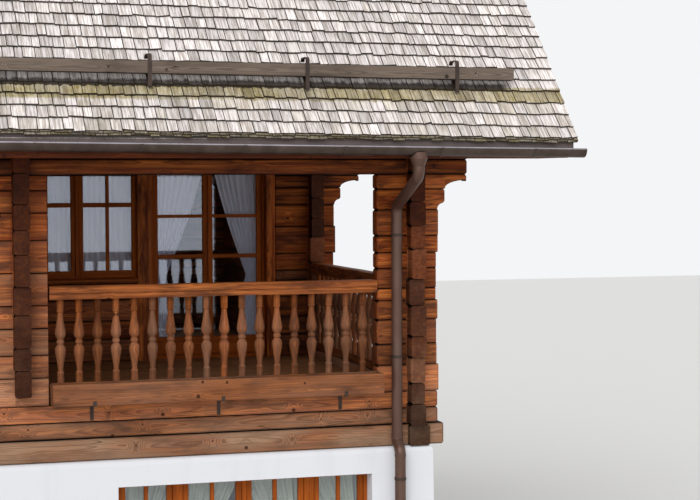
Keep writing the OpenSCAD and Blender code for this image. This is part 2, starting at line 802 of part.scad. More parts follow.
// A jog with a collar at each end that slips over the next pipe
module jog_piece(r, a, run) {
    h = jog_h(r, a, run);
    difference() {
        union() {
            jog(r, a, run, pipe_r);
            translate([0, 0, -collar_h]) collar_body();
            translate([0, -run, h - pipe_lap]) collar_body();
        }
        jog(r, a, run, pipe_r - pipe_t);
        translate([0, 0, -collar_h - 1]) cylinder(r = pipe_r + fit, h = collar_h + 1 - fit, $fn = 48);
        translate([0, 0, -pipe_lap]) cylinder(r = pipe_r - pipe_t, h = 2 * pipe_lap, $fn = 48);
        translate([0, -run, h + fit]) cylinder(r = pipe_r + fit, h = collar_h + 1 - fit, $fn = 48);
        translate([0, -run, h - pipe_lap]) cylinder(r = pipe_r - pipe_t, h = 2 * pipe_lap, $fn = 48);
    }
}

module collar_body() cylinder(r = pipe_r + fit + pipe_t, h = collar_h + pipe_lap, $fn = 48);

socket = 1;
pipe_lap = 2;
neck_run = gutter_y - upper_pipe_y;
offset_run = lower_pipe_y - upper_pipe_y;
offset_z = masonry_h - 50;
offset_top = offset_z + jog_h(offset_r, offset_angle, offset_run);
neck_top = funnel_low - collar_h - 3;
neck_z = neck_top - jog_h(neck_r, neck_angle, neck_run);

module tube(z0, z1)
    translate([0, 0, z0]) difference() {
        cylinder(r = pipe_r, h = z1 - z0, $fn = 48);
        translate([0, 0, -1]) cylinder(r = pipe_r - pipe_t, h = z1 - z0 + 2, $fn = 48);
    }

// The hopper under the gutter: a spout, a cone and a straight rim, w being the spout's radius
module hopper_shape(w, under) {
    flare = w + funnel_r - pipe_r;
    translate([0, 0, neck_top + 2 * fit - under])
        cylinder(r = w, h = funnel_low - neck_top - 2 * fit + under + pipe_lap, $fn = 48);
    translate([0, 0, funnel_low]) cylinder(r1 = w + 2 * socket, r2 = flare, h = funnel_rim - funnel_low, $fn = 64);
    translate([0, 0, funnel_rim - pipe_lap])
        cylinder(r = flare + 2 * socket, h = funnel_top - funnel_rim + pipe_lap + under, $fn = 64);
}

module hopper()
    difference() {
        hopper_shape(pipe_r, 0);
        hopper_shape(pipe_r - pipe_t, 1);
        translate([-2 * funnel_r, 0, rim_z]) rotate([0, 90, 0])
            cylinder(r = gutter_r + fit, h = 4 * funnel_r, $fn = 64);
    }

module downpipe() translate([pipe_x, 0, 0]) {
    translate([0, -lower_pipe_y, 0]) tube(0, offset_z - 2 * fit);
    translate([0, -upper_pipe_y, offset_top]) mirror([0, 0, 1]) jog_piece(offset_r, offset_angle, offset_run);
    translate([0, -upper_pipe_y, 0]) tube(offset_top + 2 * fit, neck_z - 2 * fit);
    translate([0, -upper_pipe_y, neck_z]) jog_piece(neck_r, neck_angle, neck_run);
    translate([0, -gutter_y, 0]) hopper();
}

module downpipes() color("dimgray") both_ends() both_sides() downpipe();

clip_t = 4;
clip_h = 26;
clip_tail = 20;

module clip(y, z, wall)
    translate([pipe_x, -y, z]) difference() {
        union() {
            cylinder(r = pipe_r + fit + clip_t, h = clip_h, $fn = 48);
            translate([-clip_tail / 2, 0, 0]) cube([clip_tail, y - wall - fit, clip_h]);
        }
        translate([0, 0, -1]) cylinder(r = pipe_r + fit, h = clip_h + 2, $fn = 48);
    }

module pipe_clips() color("dimgray") both_ends() both_sides() {
    clip(upper_pipe_y, lintel_z - clip_drop, face_y);
    clip(upper_pipe_y, floor_z + clip_rise, face_y);
    for (z = [masonry_h - ledge_drop, slab_h + foot_rise]) clip(lower_pipe_y, z, masonry_y(z));
}

// SNOW GUARDS

snow_y = eave_y - snow_up;
// Height of a hook's base bar above the shingles, measured plumb
bar_h = hook_t / cos(pitch);
snow_z = shingles_z(snow_y - snow_d) + bar_h + 2 * fit;
snow_top = snow_z + snow_h;

// A squared timber, plumb in front, with its lower rear edge on the hooks' base bars
module snow_guards() color("gray") both_sides()
    block(-verge_x + snow_in, verge_x - snow_in, -snow_y, -snow_y + snow_d, snow_z, snow_top);

// Side view of a hook: a bar up the roof, a strap in front of the timber and a curl over it
module hook_profile() {
    y0 = snow_y + fit;
    y1 = y0 + hook_t;
    back = snow_y - snow_d - 60;
    polygon([[-y1, shingles_z(y1) + fit], [-back, shingles_z(back) + fit], [-back, shingles_z(back) + fit + bar_h],
             [-y0, shingles_z(y0) + fit + bar_h], [-y0, snow_top + 18],
             [-snow_y + 18, snow_top + curl_h - 16], [-snow_y + 50, snow_top + curl_h - hook_t],
             [-snow_y + curl_d - 60, snow_top + curl_h - hook_t], [-snow_y + curl_d - 30, snow_top + curl_h - 18],
             [-snow_y + curl_d - 8, snow_top + 12], [-snow_y + curl_d, snow_top + 16],
             [-snow_y + curl_d - 24, snow_top + curl_h - 11], [-snow_y + curl_d - 58, snow_top + curl_h],
             [-snow_y + 48, snow_top + curl_h], [-snow_y + 12, snow_top + curl_h - 10], [-y1, snow_top + 18]]);
}

// The web that stiffens a hook under the timber
module hook_web() {
    a = snow_y - snow_d + 8;
    sunk = fit + bar_h - 2;
    polygon([[-snow_y - 2, shingles_z(snow_y + 2) + sunk], [-a, shingles_z(a) + sunk], [-a, snow_z - fit],
             [-snow_y - 2, snow_z - fit]]);
}

module snow_hooks() color("dimgray") both_sides()
    for (k = [-4:4]) {
        along_x(k * hook_pitch - hook_w / 2, k * hook_pitch + hook_w / 2) hook_profile();
        along_x(k * hook_pitch - hook_t / 2, k * hook_pitch + hook_t / 2) hook_web();
    }

// BALUSTRADES

rail_x0 = part_x + part_stub;
rail_x1 = half_len - pier_front;
rail_y0 = -half_dep + pier_side;
rail_y1 = back_y - log_t / 2 - head_len;
rail_top = floor_z + rail_h;

// Cross-section of the handrail: a weathered cap over a narrower rail
module rail_section() {
    w = rail_w / 2;
    polygon([[-w + 13, -cap_h - under_h], [w - 13, -cap_h - under_h], [w - 13, -cap_h], [w, -cap_h],
             [w, -28], [w - 22, 0], [-w + 22, 0], [-w, -28], [-w, -cap_h], [-w + 13, -cap_h]]);
}

module handrails() color("sienna") both_ends() {
    translate([0, -half_dep, rail_top]) along_x(rail_x0 + fit, rail_x1 - fit) rail_section();
    block(rail_x0 + fit, rail_x1 - fit, -half_dep - 45, -half_dep + 45,
          floor_z + low_rail_z - low_rail_h, floor_z + low_rail_z);
    translate([half_len - side_rail_in, rail_y1 - fit, rail_top]) rotate([90, 0, 0])
        linear_extrude(rail_y1 - rail_y0 - 2 * fit) rail_section();
    block(half_len - side_rail_in - 45, half_len - side_rail_in + 45, rail_y0 + fit, rail_y1 - fit,
          floor_z + low_rail_z - low_rail_h, floor_z + low_rail_z);
}

baluster_h = rail_h - cap_h - under_h - low_rail_z;
// Half of a baluster's outline, from its middle ring up: radius share and height share
TURNING = [[0.70, 0], [0.70, 0.030], [0.66, 0.036], [0.54, 0.040], [0.54, 0.063], [0.68, 0.085],
    [0.88, 0.125], [0.98, 0.170], [1, 0.205], [0.97, 0.245], [0.88, 0.31], [0.75, 0.40], [0.62, 0.50],
    [0.53, 0.59], [0.48, 0.66], [0.48, 0.68], [0.56, 0.685], [0.65, 0.70], [0.65, 0.735], [0.56, 0.74],
    [0.56, 0.75], [0.65, 0.755], [0.65, 0.785], [0.56, 0.79], [0.56, 0.805], [0.65, 0.81], [0.65, 1]];

module baluster() {
    h = baluster_h / 2;
    n = len(TURNING) - 1;
    translate([0, 0, h]) rotate_extrude($fn = 32)
        polygon(concat([[0, h]], [for (i = [n:-1:0]) [TURNING[i][0] * belly_r, TURNING[i][1] * h]],
                       [for (i = [0:n]) [TURNING[i][0] * belly_r, -TURNING[i][1] * h]], [[0, -h]]));
}

module balusters() color("sienna") both_ends() {
    front_step = (rail_x1 - rail_x0 - first_gap - last_gap) / (front_balusters - 1);
    side_step = (rail_y1 - rail_y0) / side_balusters;
    for (i = [0:front_balusters - 1])
        translate([rail_x0 + first_gap + i * front_step, -half_dep, floor_z + low_rail_z]) baluster();
    for (i = [0:side_balusters - 1])
        translate([half_len - side_rail_in, rail_y0 + (i + 0.5) * side_step, floor_z + low_rail_z]) baluster();
}

trough_z = floor_z + 12;
trough_wall = 18;
trough_y = face_y + 15;

module flower_troughs() color("saddlebrown") both_ends()
    difference() {
        block(rail_x0, rail_x1, -trough_y - trough_d, -trough_y, trough_z, trough_z + trough_h);
        block(rail_x0 + trough_wall, rail_x1 - trough_wall, -trough_y - trough_d + trough_wall,
              -trough_y - trough_wall, trough_z + trough_wall, trough_z + trough_h + 1);
    }

// An iron against the wall, out under the trough and up in front of it
module trough_brackets() color("dimgray") both_ends() {
    w = iron_w;
    t = iron_t;
    front = trough_y + trough_d + fit;
    for (s = [0.12, 0.5, 0.88])
        translate([rail_x0 + s * (rail_x1 - rail_x0) - w / 2, 0, 0]) along_x(0, w)
            polygon([[-face_y - fit, trough_z - 0.8 * trough_h], [-face_y - fit, trough_z - fit],
                     [-front, trough_z - fit], [-front, trough_z + 0.2 * trough_h],
                     [-front - t, trough_z + 0.2 * trough_h], [-front - t, trough_z - fit - t],
                     [-face_y - fit - t, trough_z - fit - t], [-face_y - fit - t, trough_z - 0.8 * trough_h]]);
}

// WINDOWS AND DOORS

// Sashes of a window of width w as pairs of start and width: n equal ones with posts m between
function even_sashes(w, n, m) =
    let (s = (w - 2 * casing - (n - 1) * m) / n) [for (i = [0:n - 1]) [casing + i * (s + m), s]];

// Sashes of a ribbon window: two middle ones that meet at a slim post, and one on each side
ribbon_side = ribbon_w / 2 - casing - ribbon_post - ribbon_mid - ribbon_meet / 2;
ribbon_sashes = [[casing, ribbon_side], [casing + ribbon_side + ribbon_post, ribbon_mid],
    [(ribbon_w + ribbon_meet) / 2, ribbon_mid], [ribbon_w - casing - ribbon_side, ribbon_side]];

// Fixed frame and sashes of a window: x is its middle, y its outer face, z its foot
module window(x, y, z, w, h, sashes, foot = stile)
    translate([x - w / 2, y, z]) {
        difference() {
            translate([fit, 0, fit]) cube([w - 2 * fit, frame_d, h - 2 * fit]);
            for (s = sashes) translate([s[0], -1, casing]) cube([s[1], frame_d + 2, h - 2 * casing]);
        }
        for (s = sashes)
            translate([s[0] + fit, sash_back, casing + fit])
                difference() {
                    cube([s[1] - 2 * fit, frame_d - 2 * sash_back, h - 2 * casing - 2 * fit]);
                    translate([stile, -1, foot])
                        cube([s[1] - 2 * fit - 2 * stile, frame_d, h - 2 * casing - 2 * fit - stile - foot]);
                }
    }

// Panes of the same window
module panes(x, y, z, w, h, sashes, foot = stile)
    for (s = sashes)
        translate([x - w / 2 + s[0] + stile + 2 * fit, y + (frame_d - glass_t) / 2, z + casing + foot + 2 * fit])
            cube([s[1] - 2 * stile - 4 * fit, glass_t, h - 2 * casing - stile - foot - 4 * fit]);

// Board in front of a window's foot, on the log below it
module sill_board(x, y, z, w)
    block(x - w / 2 + fit, x + w / 2 - fit, y - log_recess - board_out, y - fit, z + fit, z + casing);

sash_back = 12;
middle_post = 35;
door_post = 4;
log_recess = 20;
masonry_recess = 145;
win_x = post_x - win_w / 2;
sash_foot = 85;
door_foot = 205;
pair = even_sashes(win_w, 2, middle_post);
small_pair = even_sashes(small_w, 2, middle_post);
french_pair = even_sashes(french_w, 2, door_post);
loggia_frame_y = back_y - log_t / 2 + log_recess;
front_frame_y = -face_y + log_recess;
gable_frame_y = -face_x + log_recess;
masonry_frame_y = -outer_y + masonry_recess;
masonry_frame_x = -outer_x + masonry_recess;

module loggia_windows() color("saddlebrown") both_ends() {
    window(win_x, loggia_frame_y, loggia_win_z, win_w, loggia_win_h, pair, sash_foot);
    sill_board(win_x, loggia_frame_y, loggia_win_z, win_w);
}

module french_doors() color("saddlebrown") both_ends()
    window(french_x, loggia_frame_y, floor_z, french_w, loggia_head - floor_z, french_pair, door_foot);

module wall_windows() color("saddlebrown") {
    window(0, front_frame_y, wall_win_z, win_w, wall_win_h, pair);
    sill_board(0, front_frame_y, wall_win_z, win_w);
    rotate([0, 0, 180]) for (x = rear_windows) {
        window(x, front_frame_y, wall_win_z, win_w, wall_win_h, pair);
        sill_board(x, front_frame_y, wall_win_z, win_w);
    }
    both_ends() to_right() {
        window(gable_win_y, gable_frame_y, wall_win_z, win_w, wall_win_h, pair);
        sill_board(gable_win_y, gable_frame_y, wall_win_z, win_w);
        window(0, gable_frame_y, attic_win_z, win_w, attic_win_h, pair);
        sill_board(0, gable_frame_y, attic_win_z, win_w);
    }
}

module upper_glass() color("lightblue") {
    both_ends() {
        panes(win_x, loggia_frame_y, loggia_win_z, win_w, loggia_win_h, pair, sash_foot);
        panes(french_x, loggia_frame_y, floor_z, french_w, loggia_head - floor_z, french_pair, door_foot);
        to_right() {
            panes(gable_win_y, gable_frame_y, wall_win_z, win_w, wall_win_h, pair);
            panes(0, gable_frame_y, attic_win_z, win_w, attic_win_h, pair);
        }
    }
    panes(0, front_frame_y, wall_win_z, win_w, wall_win_h, pair);
    rotate([0, 0, 180]) for (x = rear_windows) panes(x, front_frame_y, wall_win_z, win_w, wall_win_h, pair);
}

module ground_windows() color("saddlebrown") {
    both_ends() both_sides() window(ribbon_x, masonry_frame_y, ribbon_z, ribbon_w, ribbon_h, ribbon_sashes);
    window(0, masonry_frame_y, ribbon_z, small_w, ribbon_h, small_pair);
    both_ends() to_right() both_ends()
        window(small_y, masonry_frame_x, ribbon_z, small_w, ribbon_h, small_pair);
}

module ground_glass() color("lightblue") {
    both_ends() both_sides() panes(ribbon_x, masonry_frame_y, ribbon_z, ribbon_w, ribbon_h, ribbon_sashes);
    panes(0, masonry_frame_y, ribbon_z, small_w, ribbon_h, small_pair);
    both_ends() to_right() both_ends()
        panes(small_y, masonry_frame_x, ribbon_z, small_w, ribbon_h, small_pair);
}

lining = 60;

module entrance_door() color("saddlebrown")
    rotate([0, 0, 180]) translate([-door_w / 2, masonry_frame_y, slab_h]) {
        difference() {
            translate([fit, 0, 0]) cube([door_w - 2 * fit, frame_d, door_h - fit]);
            translate([lining, -1, -1]) cube([door_w - 2 * lining, frame_d + 2, door_h - lining + 1]);
        }
        translate([lining + fit, sash_back, 0])
            cube([door_w - 2 * lining - 2 * fit, frame_d - 2 * sash_back, door_h - lining - fit]);
    }

// CURTAINS

track_h = 25;
loggia_track_z = loggia_head + 10;
loggia_track_y = back_y + log_t / 2;
ribbon_track_z = ribbon_z + ribbon_h - track_h - fit;
ribbon_track_y = masonry_frame_y + frame_d + 30;

module curtain_tracks() color("white") both_ends() {
    block(win_x - win_w / 2 - 60, jamb_x + 60, loggia_track_y + fit, loggia_track_y + 90,
          loggia_track_z, loggia_track_z + track_h);
    block(ribbon_x - ribbon_w / 2 + fit, ribbon_x + ribbon_w / 2 - fit, ribbon_track_y, ribbon_track_y + 60,
          ribbon_track_z, ribbon_track_z + track_h);
}

module loggia_curtains() color("aliceblue") both_ends() {
    block(win_x - win_w / 2 + 20, win_x + win_w / 2 - 20, loggia_track_y + curtain_gap,
          loggia_track_y + curtain_gap + curtain_t, loggia_win_z - 60, loggia_track_z - fit);
    block(french_x - french_w / 2 + 20, french_x + french_w / 2 - 20, loggia_track_y + curtain_gap,
          loggia_track_y + curtain_gap + curtain_t, floor_z + 20, loggia_track_z - fit);
}

module ribbon_curtains() color("aliceblue") both_ends()
    block(ribbon_x - ribbon_w / 2 + 15, ribbon_x + ribbon_w / 2 - 15, ribbon_track_y + 5,
          ribbon_track_y + 5 + curtain_t, ribbon_z + 15, ribbon_track_z - fit);

masonry_front();
masonry_rear();
masonry_sides();
ground_slab();
floor_joists();
upper_floor();
attic_floor();
sill_logs();
middle_wall_front();
corner_piers();
loggia_back_walls();
partition_walls();
log_wall_rear();
gable_wall_left();
gable_wall_right();
eave_logs();
purlins();
rafters();
roof_boards();
shingles_front();
shingles_rear();
ridge_boards();
barge_boards();
fascia_boards();
soffits();
eave_flashing();
gutters();
gutter_brackets();
downpipes();
pipe_clips();
snow_guards();
snow_hooks();
handrails();
balusters();
flower_troughs();
trough_brackets();
loggia_windows();
french_doors();
wall_windows();
ground_windows();
entrance_door();
upper_glass();
ground_glass();
curtain_tracks();
loggia_curtains();
ribbon_curtains();
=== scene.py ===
"""Alpine chalet: the visible surfaces of its pieces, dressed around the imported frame.

Metres, +Z up, the front towards -Y, the origin on the ground under the middle of the house.
Each class below builds the pieces of one sub-assembly and gives them their finish.
"""
from __future__ import annotations

import logging
import math
from collections.abc import Callable, Sequence
from dataclasses import dataclass, field, replace
from enum import Enum
from functools import cache

import bpy
import numpy as np
from mathutils import Matrix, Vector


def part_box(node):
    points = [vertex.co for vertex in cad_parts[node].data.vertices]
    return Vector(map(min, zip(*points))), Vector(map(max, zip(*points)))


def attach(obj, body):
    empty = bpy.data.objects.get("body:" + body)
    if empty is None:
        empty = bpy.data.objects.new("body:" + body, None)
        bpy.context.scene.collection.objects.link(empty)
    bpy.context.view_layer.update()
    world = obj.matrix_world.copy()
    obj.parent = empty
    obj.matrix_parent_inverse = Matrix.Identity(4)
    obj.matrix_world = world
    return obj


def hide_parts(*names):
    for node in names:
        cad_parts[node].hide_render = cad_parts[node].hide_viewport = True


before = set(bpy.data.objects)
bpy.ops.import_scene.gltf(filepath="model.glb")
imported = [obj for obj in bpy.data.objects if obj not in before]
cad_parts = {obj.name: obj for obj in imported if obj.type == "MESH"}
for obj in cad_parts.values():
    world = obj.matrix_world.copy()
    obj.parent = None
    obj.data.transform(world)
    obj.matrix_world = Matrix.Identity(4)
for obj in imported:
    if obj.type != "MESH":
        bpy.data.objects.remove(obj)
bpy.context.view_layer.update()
BODY = "root"
FIT = 0.0003
log = logging.getLogger("chalet")

Array = np.ndarray
Draws = np.random.Generator
Colour = tuple[float, float, float, float]
Span = tuple[float, float]
Boxes = Sequence[tuple[Sequence[float], Sequence[float]]]
Value = bpy.types.NodeSocket | float | Colour


def seeded(seed: int) -> Draws:
    """A field with its own random draws, the same in each run."""
    return field(default_factory=lambda: np.random.default_rng(seed))


class Axis(Enum):
    """Direction of a piece's length; its section lies in the next two axes."""

    X = 0
    Y = 1
    Z = 2

    @property
    def order(self) -> tuple[int, int, int]:
        """Indices of the coordinates along the length and across the section."""
        return self.value, (self.value + 1) % 3, (self.value + 2) % 3


class Side(Enum):
    """A side of the house, with the turn about Z that brings the front there."""

    FRONT = 0.0
    RIGHT = 90.0
    REAR = 180.0
    LEFT = 270.0


def srgb(red: int, green: int, blue: int) -> Colour:
    """Linear colour of a display colour given from 0 to 255."""
    parts = [c / 255 for c in (red, green, blue)]
    return (*(c / 12.92 if c <= 0.04045 else ((c + 0.055) / 1.055) ** 2.4 for c in parts), 1.0)


@dataclass
class Surface:
    """Closed shapes with the values that their finish reads.

    points are (n, 3) places in metres. loops holds the corners of all faces in a row and sizes
    how many corners each face has. grain is (n, 3): the place along the timber, through it and
    across its face. look is (m, 3) for the faces: tone from -1 to 1, which painted shade and light
    lower and raise, weathering from 0 to 1 (on shingles, damp together with painted shade on the
    butts and edges), and the share of end grain (on shingles, of moss).
    """

    points: Array
    loops: Array
    sizes: Array
    grain: Array
    look: Array

    def placed(self, points: Array) -> Surface:
        """The same surface with other points."""
        return replace(self, points=points)


def joined(surfaces: Sequence[Surface]) -> Surface:
    """Several surfaces as one.

    Args:
        surfaces: The surfaces, in order.

    Returns:
        One surface with all their faces.
    """
    starts = np.cumsum([0] + [len(s.points) for s in surfaces[:-1]])
    return Surface(
        np.concatenate([s.points for s in surfaces]),
        np.concatenate([s.loops + start for s, start in zip(surfaces, starts)]),
        np.concatenate([s.sizes for s in surfaces]),
        np.concatenate([s.grain for s in surfaces]),
        np.concatenate([s.look for s in surfaces]))


def turned(surface: Surface, side: Side) -> Surface:
    """A surface of the front turned about Z to another side of the house.

    Args:
        surface: A surface as it stands at the front.
        side: The side that it turns to.

    Returns:
        The turned surface: x' = x cos a - y sin a, y' = x sin a + y cos a.
    """
    angle = math.radians(side.value)
    c, s = math.cos(angle), math.sin(angle)
    x, y, z = surface.points.T
    return surface.placed(np.stack([c * x - s * y, s * x + c * y, z], axis=1))


def mirrored(surface: Surface) -> Surface:
    """A surface mirrored in the middle plane of the house, with its faces kept outwards.

    Args:
        surface: A surface of one half.

    Returns:
        Its mirror image, from another part of the tree.
    """
    starts = np.repeat(np.cumsum(surface.sizes) - surface.sizes, surface.sizes)
    sizes = np.repeat(surface.sizes, surface.sizes)
    place = np.arange(len(surface.loops)) - starts
    loops = surface.loops[starts + sizes - 1 - place]
    grain = surface.grain + np.array([13.7, 0.0, 0.0])
    return replace(surface, points=surface.points * [-1.0, 1.0, 1.0], loops=loops, grain=grain)


def tube_faces(stations: int, around: int) -> tuple[Array, Array]:
    """Faces of a section carried past several stations, with a flat cap at each end.

    Args:
        stations: How many sections there are.
        around: Points in a section, which turn anticlockwise when the length points at the eye.

    Returns:
        The corners of all faces in a row, and the corners of each.
    """
    i = np.arange(stations - 1)[:, None] * around
    k = np.arange(around)[None, :]
    k_next = (k + 1) % around
    quads = np.stack([i + k, i + k_next, i + around + k_next, i + around + k], axis=-1).reshape(-1, 4)
    near = np.arange(around)[::-1]
    far = (stations - 1) * around + np.arange(around)
    return (np.concatenate([quads.ravel(), near, far]),
            np.concatenate([np.full(len(quads), 4), [around, around]]))


def copies(points: Array, loops: Array, sizes: Array, grain: Array, look: Array) -> Surface:
    """Many shapes of one kind as one surface.

    Args:
        points: (n, k, 3) points of n shapes.
        loops: Corners of one shape's faces.
        sizes: Corners of each of its faces.
        grain: (n, k, 3) places in the timber.
        look: (n, m, 3) values of the faces.

    Returns:
        One surface of n shapes.
    """
    count, each = points.shape[:2]
    shift = (np.arange(count) * each)[:, None]
    return Surface(points.reshape(-1, 3), (loops[None, :] + shift).ravel(), np.tile(sizes, count),
                   grain.reshape(-1, 3), look.reshape(-1, 3))


def front_and_rear(surface: Surface) -> Surface:
    """A surface of the front together with its like at the rear."""
    rear = turned(surface, Side.REAR)
    return joined([surface, replace(rear, grain=rear.grain + np.array([21.3, 0.0, 0.0]))])


def left_and_right(surface: Surface) -> Surface:
    """A surface of the right half together with its mirror image."""
    return joined([surface, mirrored(surface)])


def add_object(name: str, data: bpy.types.ID) -> bpy.types.Object:
    """A new object in the scene."""
    item = bpy.data.objects.new(name, data)
    bpy.context.scene.collection.objects.link(item)
    return item


def add_piece(mesh: bpy.types.Mesh, finish: Finish, node: str) -> bpy.types.Object:
    """A piece that rides on the house.

    Args:
        mesh: Its shape, which gives it its name.
        finish: Its finish.
        node: The CAD node that it stands for.

    Returns:
        The new object.
    """
    mesh.materials.append(finish.material())
    piece = add_object(mesh.name, mesh)
    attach(piece, BODY)
    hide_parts(node)
    return piece


def make_piece(name: str, surface: Surface, finish: Finish, node: str,
               sharp: float = 32.0) -> None:
    """Makes a piece of a surface.

    Args:
        name: Name of the piece.
        surface: Its shape and the values of its finish.
        finish: Its finish.
        node: The CAD node that it stands for.
        sharp: Angle in degrees above which an edge is shaded sharp.
    """
    mesh = bpy.data.meshes.new(name)
    mesh.vertices.add(len(surface.points))
    mesh.vertices.foreach_set("co", surface.points.astype(np.float32).ravel())
    mesh.loops.add(len(surface.loops))
    mesh.loops.foreach_set("vertex_index", surface.loops.astype(np.int32))
    mesh.polygons.add(len(surface.sizes))
    mesh.polygons.foreach_set("loop_start", (np.cumsum(surface.sizes) - surface.sizes).astype(np.int32))
    mesh.update(calc_edges=True)
    for label, domain, values in (("grain", "POINT", surface.grain), ("look", "FACE", surface.look)):
        layer = mesh.attributes.new(label, "FLOAT_VECTOR", domain)
        layer.data.foreach_set("vector", values.astype(np.float32).ravel())
    mesh.shade_smooth()
    mesh.set_sharp_from_angle(angle=math.radians(sharp))
    add_piece(mesh, finish, node)
    log.info("%s: %d faces, for %s", name, len(surface.sizes), node)


def dress_node(node: str, finish: Finish) -> None:
    """Gives a CAD node whose shape is right its finish."""
    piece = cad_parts[node]
    piece.data.materials.clear()
    piece.data.materials.append(finish.material())
    log.info("%s keeps its shape in %s", node, finish.name)


# Shader graphs

class Graph:
    """Adds nodes to one node tree and links them by their inputs."""

    def __init__(self, tree: bpy.types.NodeTree) -> None:
        """Starts on a node tree."""
        self.tree = tree

    def feed(self, node: bpy.types.Node, inputs: dict) -> None:
        """Links sockets to a node's inputs, by name or index, and sets plain values on them."""
        for key, value in inputs.items():
            if isinstance(value, bpy.types.NodeSocket):
                self.tree.links.new(value, node.inputs[key])
            else:
                node.inputs[key].default_value = value

    def add(self, kind: str, inputs: dict | None = None, **settings: object) -> bpy.types.bpy_prop_collection:
        """Adds a shader node.

        Args:
            kind: The node's type.
            inputs: What its inputs get.
            settings: Properties of the node.

        Returns:
            The node's outputs.
        """
        node = self.tree.nodes.new(f"ShaderNode{kind}")
        for key, value in settings.items():
            setattr(node, key, value)
        self.feed(node, inputs or {})
        return node.outputs

    def math(self, kind: str, a: Value, b: Value = 0.0, c: Value = 0.0) -> Value:
        """Result of a math node."""
        return self.add("Math", {0: a, 1: b, 2: c}, operation=kind)[0]

    def times(self, a: Value, b: Value) -> Value:
        """One value times another."""
        return self.math("MULTIPLY", a, b)

    def plus(self, a: Value, b: Value, c: Value) -> Value:
        """One value times another, plus a third."""
        return self.math("MULTIPLY_ADD", a, b, c)

    def scaled(self, vector: Value, factors: Sequence[float]) -> Value:
        """A vector multiplied by three factors."""
        return self.add("VectorMath", {0: vector, 1: tuple(factors)}, operation="MULTIPLY")[0]

    def noise(self, vector: Value, factors: Sequence[float], detail: float = 2.0,
              rough: float = 0.5) -> Value:
        """Noise from 0 to 1, its detail per metre given along each axis by factors."""
        return self.add("TexNoise", {"Vector": self.scaled(vector, factors), "Scale": 1.0, "Detail": detail,
                                     "Roughness": rough})[0]

    def span(self, value: Value, low: float, high: float, to_low: float = 0.0, to_high: float = 1.0,
             smooth: bool = True) -> Value:
        """A value carried from one range to another and held at its ends."""
        return self.add("MapRange", {0: value, 1: low, 2: high, 3: to_low, 4: to_high},
                        interpolation_type="SMOOTHSTEP" if smooth else "LINEAR")[0]

    def hump(self, value: Value, low: float, full: float, last: float, high: float) -> Value:
        """1 where a value lies between full and last, falling to 0 at low and high."""
        return self.times(self.span(value, low, full), self.span(value, last, high, 1.0, 0.0))

    def thin_line(self, value: Value, width: float) -> Value:
        """1 where a value crosses its middle, falling to 0 at a width from it."""
        return self.span(self.math("ABSOLUTE", self.math("SUBTRACT", value, 0.5)), 0.0, width, 1.0, 0.0)

    def blend(self, factor: Value, a: Value, b: Value, kind: str = "MIX") -> Value:
        """Two colours mixed."""
        return self.add("Mix", {0: factor, 6: a, 7: b}, data_type="RGBA", blend_type=kind)[2]

    def shaded(self, colour: Value, bright: Value) -> Value:
        """A colour made brighter or darker by a factor."""
        return self.blend(1.0, colour, self.add("CombineXYZ", {i: bright for i in range(3)})[0], "MULTIPLY")

    def parts(self, vector: Value) -> bpy.types.bpy_prop_collection:
        """The three parts of a vector."""
        return self.add("SeparateXYZ", {0: vector})

    def attribute(self, name: str) -> Value:
        """Values that a mesh carries."""
        return self.add("Attribute", attribute_name=name)["Vector"]

    def place(self) -> Value:
        """Places on the piece, in metres."""
        return self.add("TexCoord")["Object"]

    def coat(self, colour: Value, rough: Value, height: Value, relief: float, gloss: float) -> dict:
        """What the shader of a surface with a relief in metres gets."""
        normal = self.add("Bump", {"Strength": 1.0, "Distance": relief, "Height": height})[0]
        return {"Base Color": colour, "Roughness": rough, "Normal": normal, "Specular IOR Level": gloss}

    def give(self, colour: Value, rough: Value, height: Value) -> bpy.types.NodeTree:
        """Ends a node group with its outputs."""
        last = self.tree.nodes.new("NodeGroupOutput")
        self.feed(last, {"Color": colour, "Roughness": rough, "Height": height})
        return self.tree


def new_group(name: str, **inputs: str) -> tuple[Graph, bpy.types.bpy_prop_collection]:
    """An empty node group that is to give a colour, a roughness and a height.

    Args:
        name: Name of the group.
        inputs: Names of its input sockets, by their kind.

    Returns:
        The graph in the group, and what it takes in.
    """
    tree = bpy.data.node_groups.new(name, "ShaderNodeTree")
    sockets = [("INPUT", kind, label) for kind, labels in inputs.items() for label in labels.split()]
    sockets += [("OUTPUT", "Color", "Color"), ("OUTPUT", "Float", "Roughness"), ("OUTPUT", "Float", "Height")]
    for direction, kind, label in sockets:
        tree.interface.new_socket(name=label, in_out=direction, socket_type=f"NodeSocket{kind}")
    return Graph(tree), tree.nodes.new("NodeGroupInput").outputs


@dataclass(frozen=True)
class Finish:
    """A named finish, whose kinds work out what its shader gets."""

    name: str

    def inputs(self, g: Graph) -> dict:
        """What the shader gets."""
        raise NotImplementedError

    @cache
    def material(self) -> bpy.types.Material:
        """The finish as a material."""
        material = bpy.data.materials.new(self.name)
        material.use_nodes = True
        g = Graph(material.node_tree)
        g.feed(material.node_tree.nodes["Principled BSDF"], self.inputs(g))
        return material


@dataclass(frozen=True)
class Plain(Finish):
    """A finish of one colour."""

    colour: Colour
    roughness: float = 0.5

    def inputs(self, g: Graph) -> dict:
        """What the shader gets."""
        return {"Base Color": self.colour, "Roughness": self.roughness}


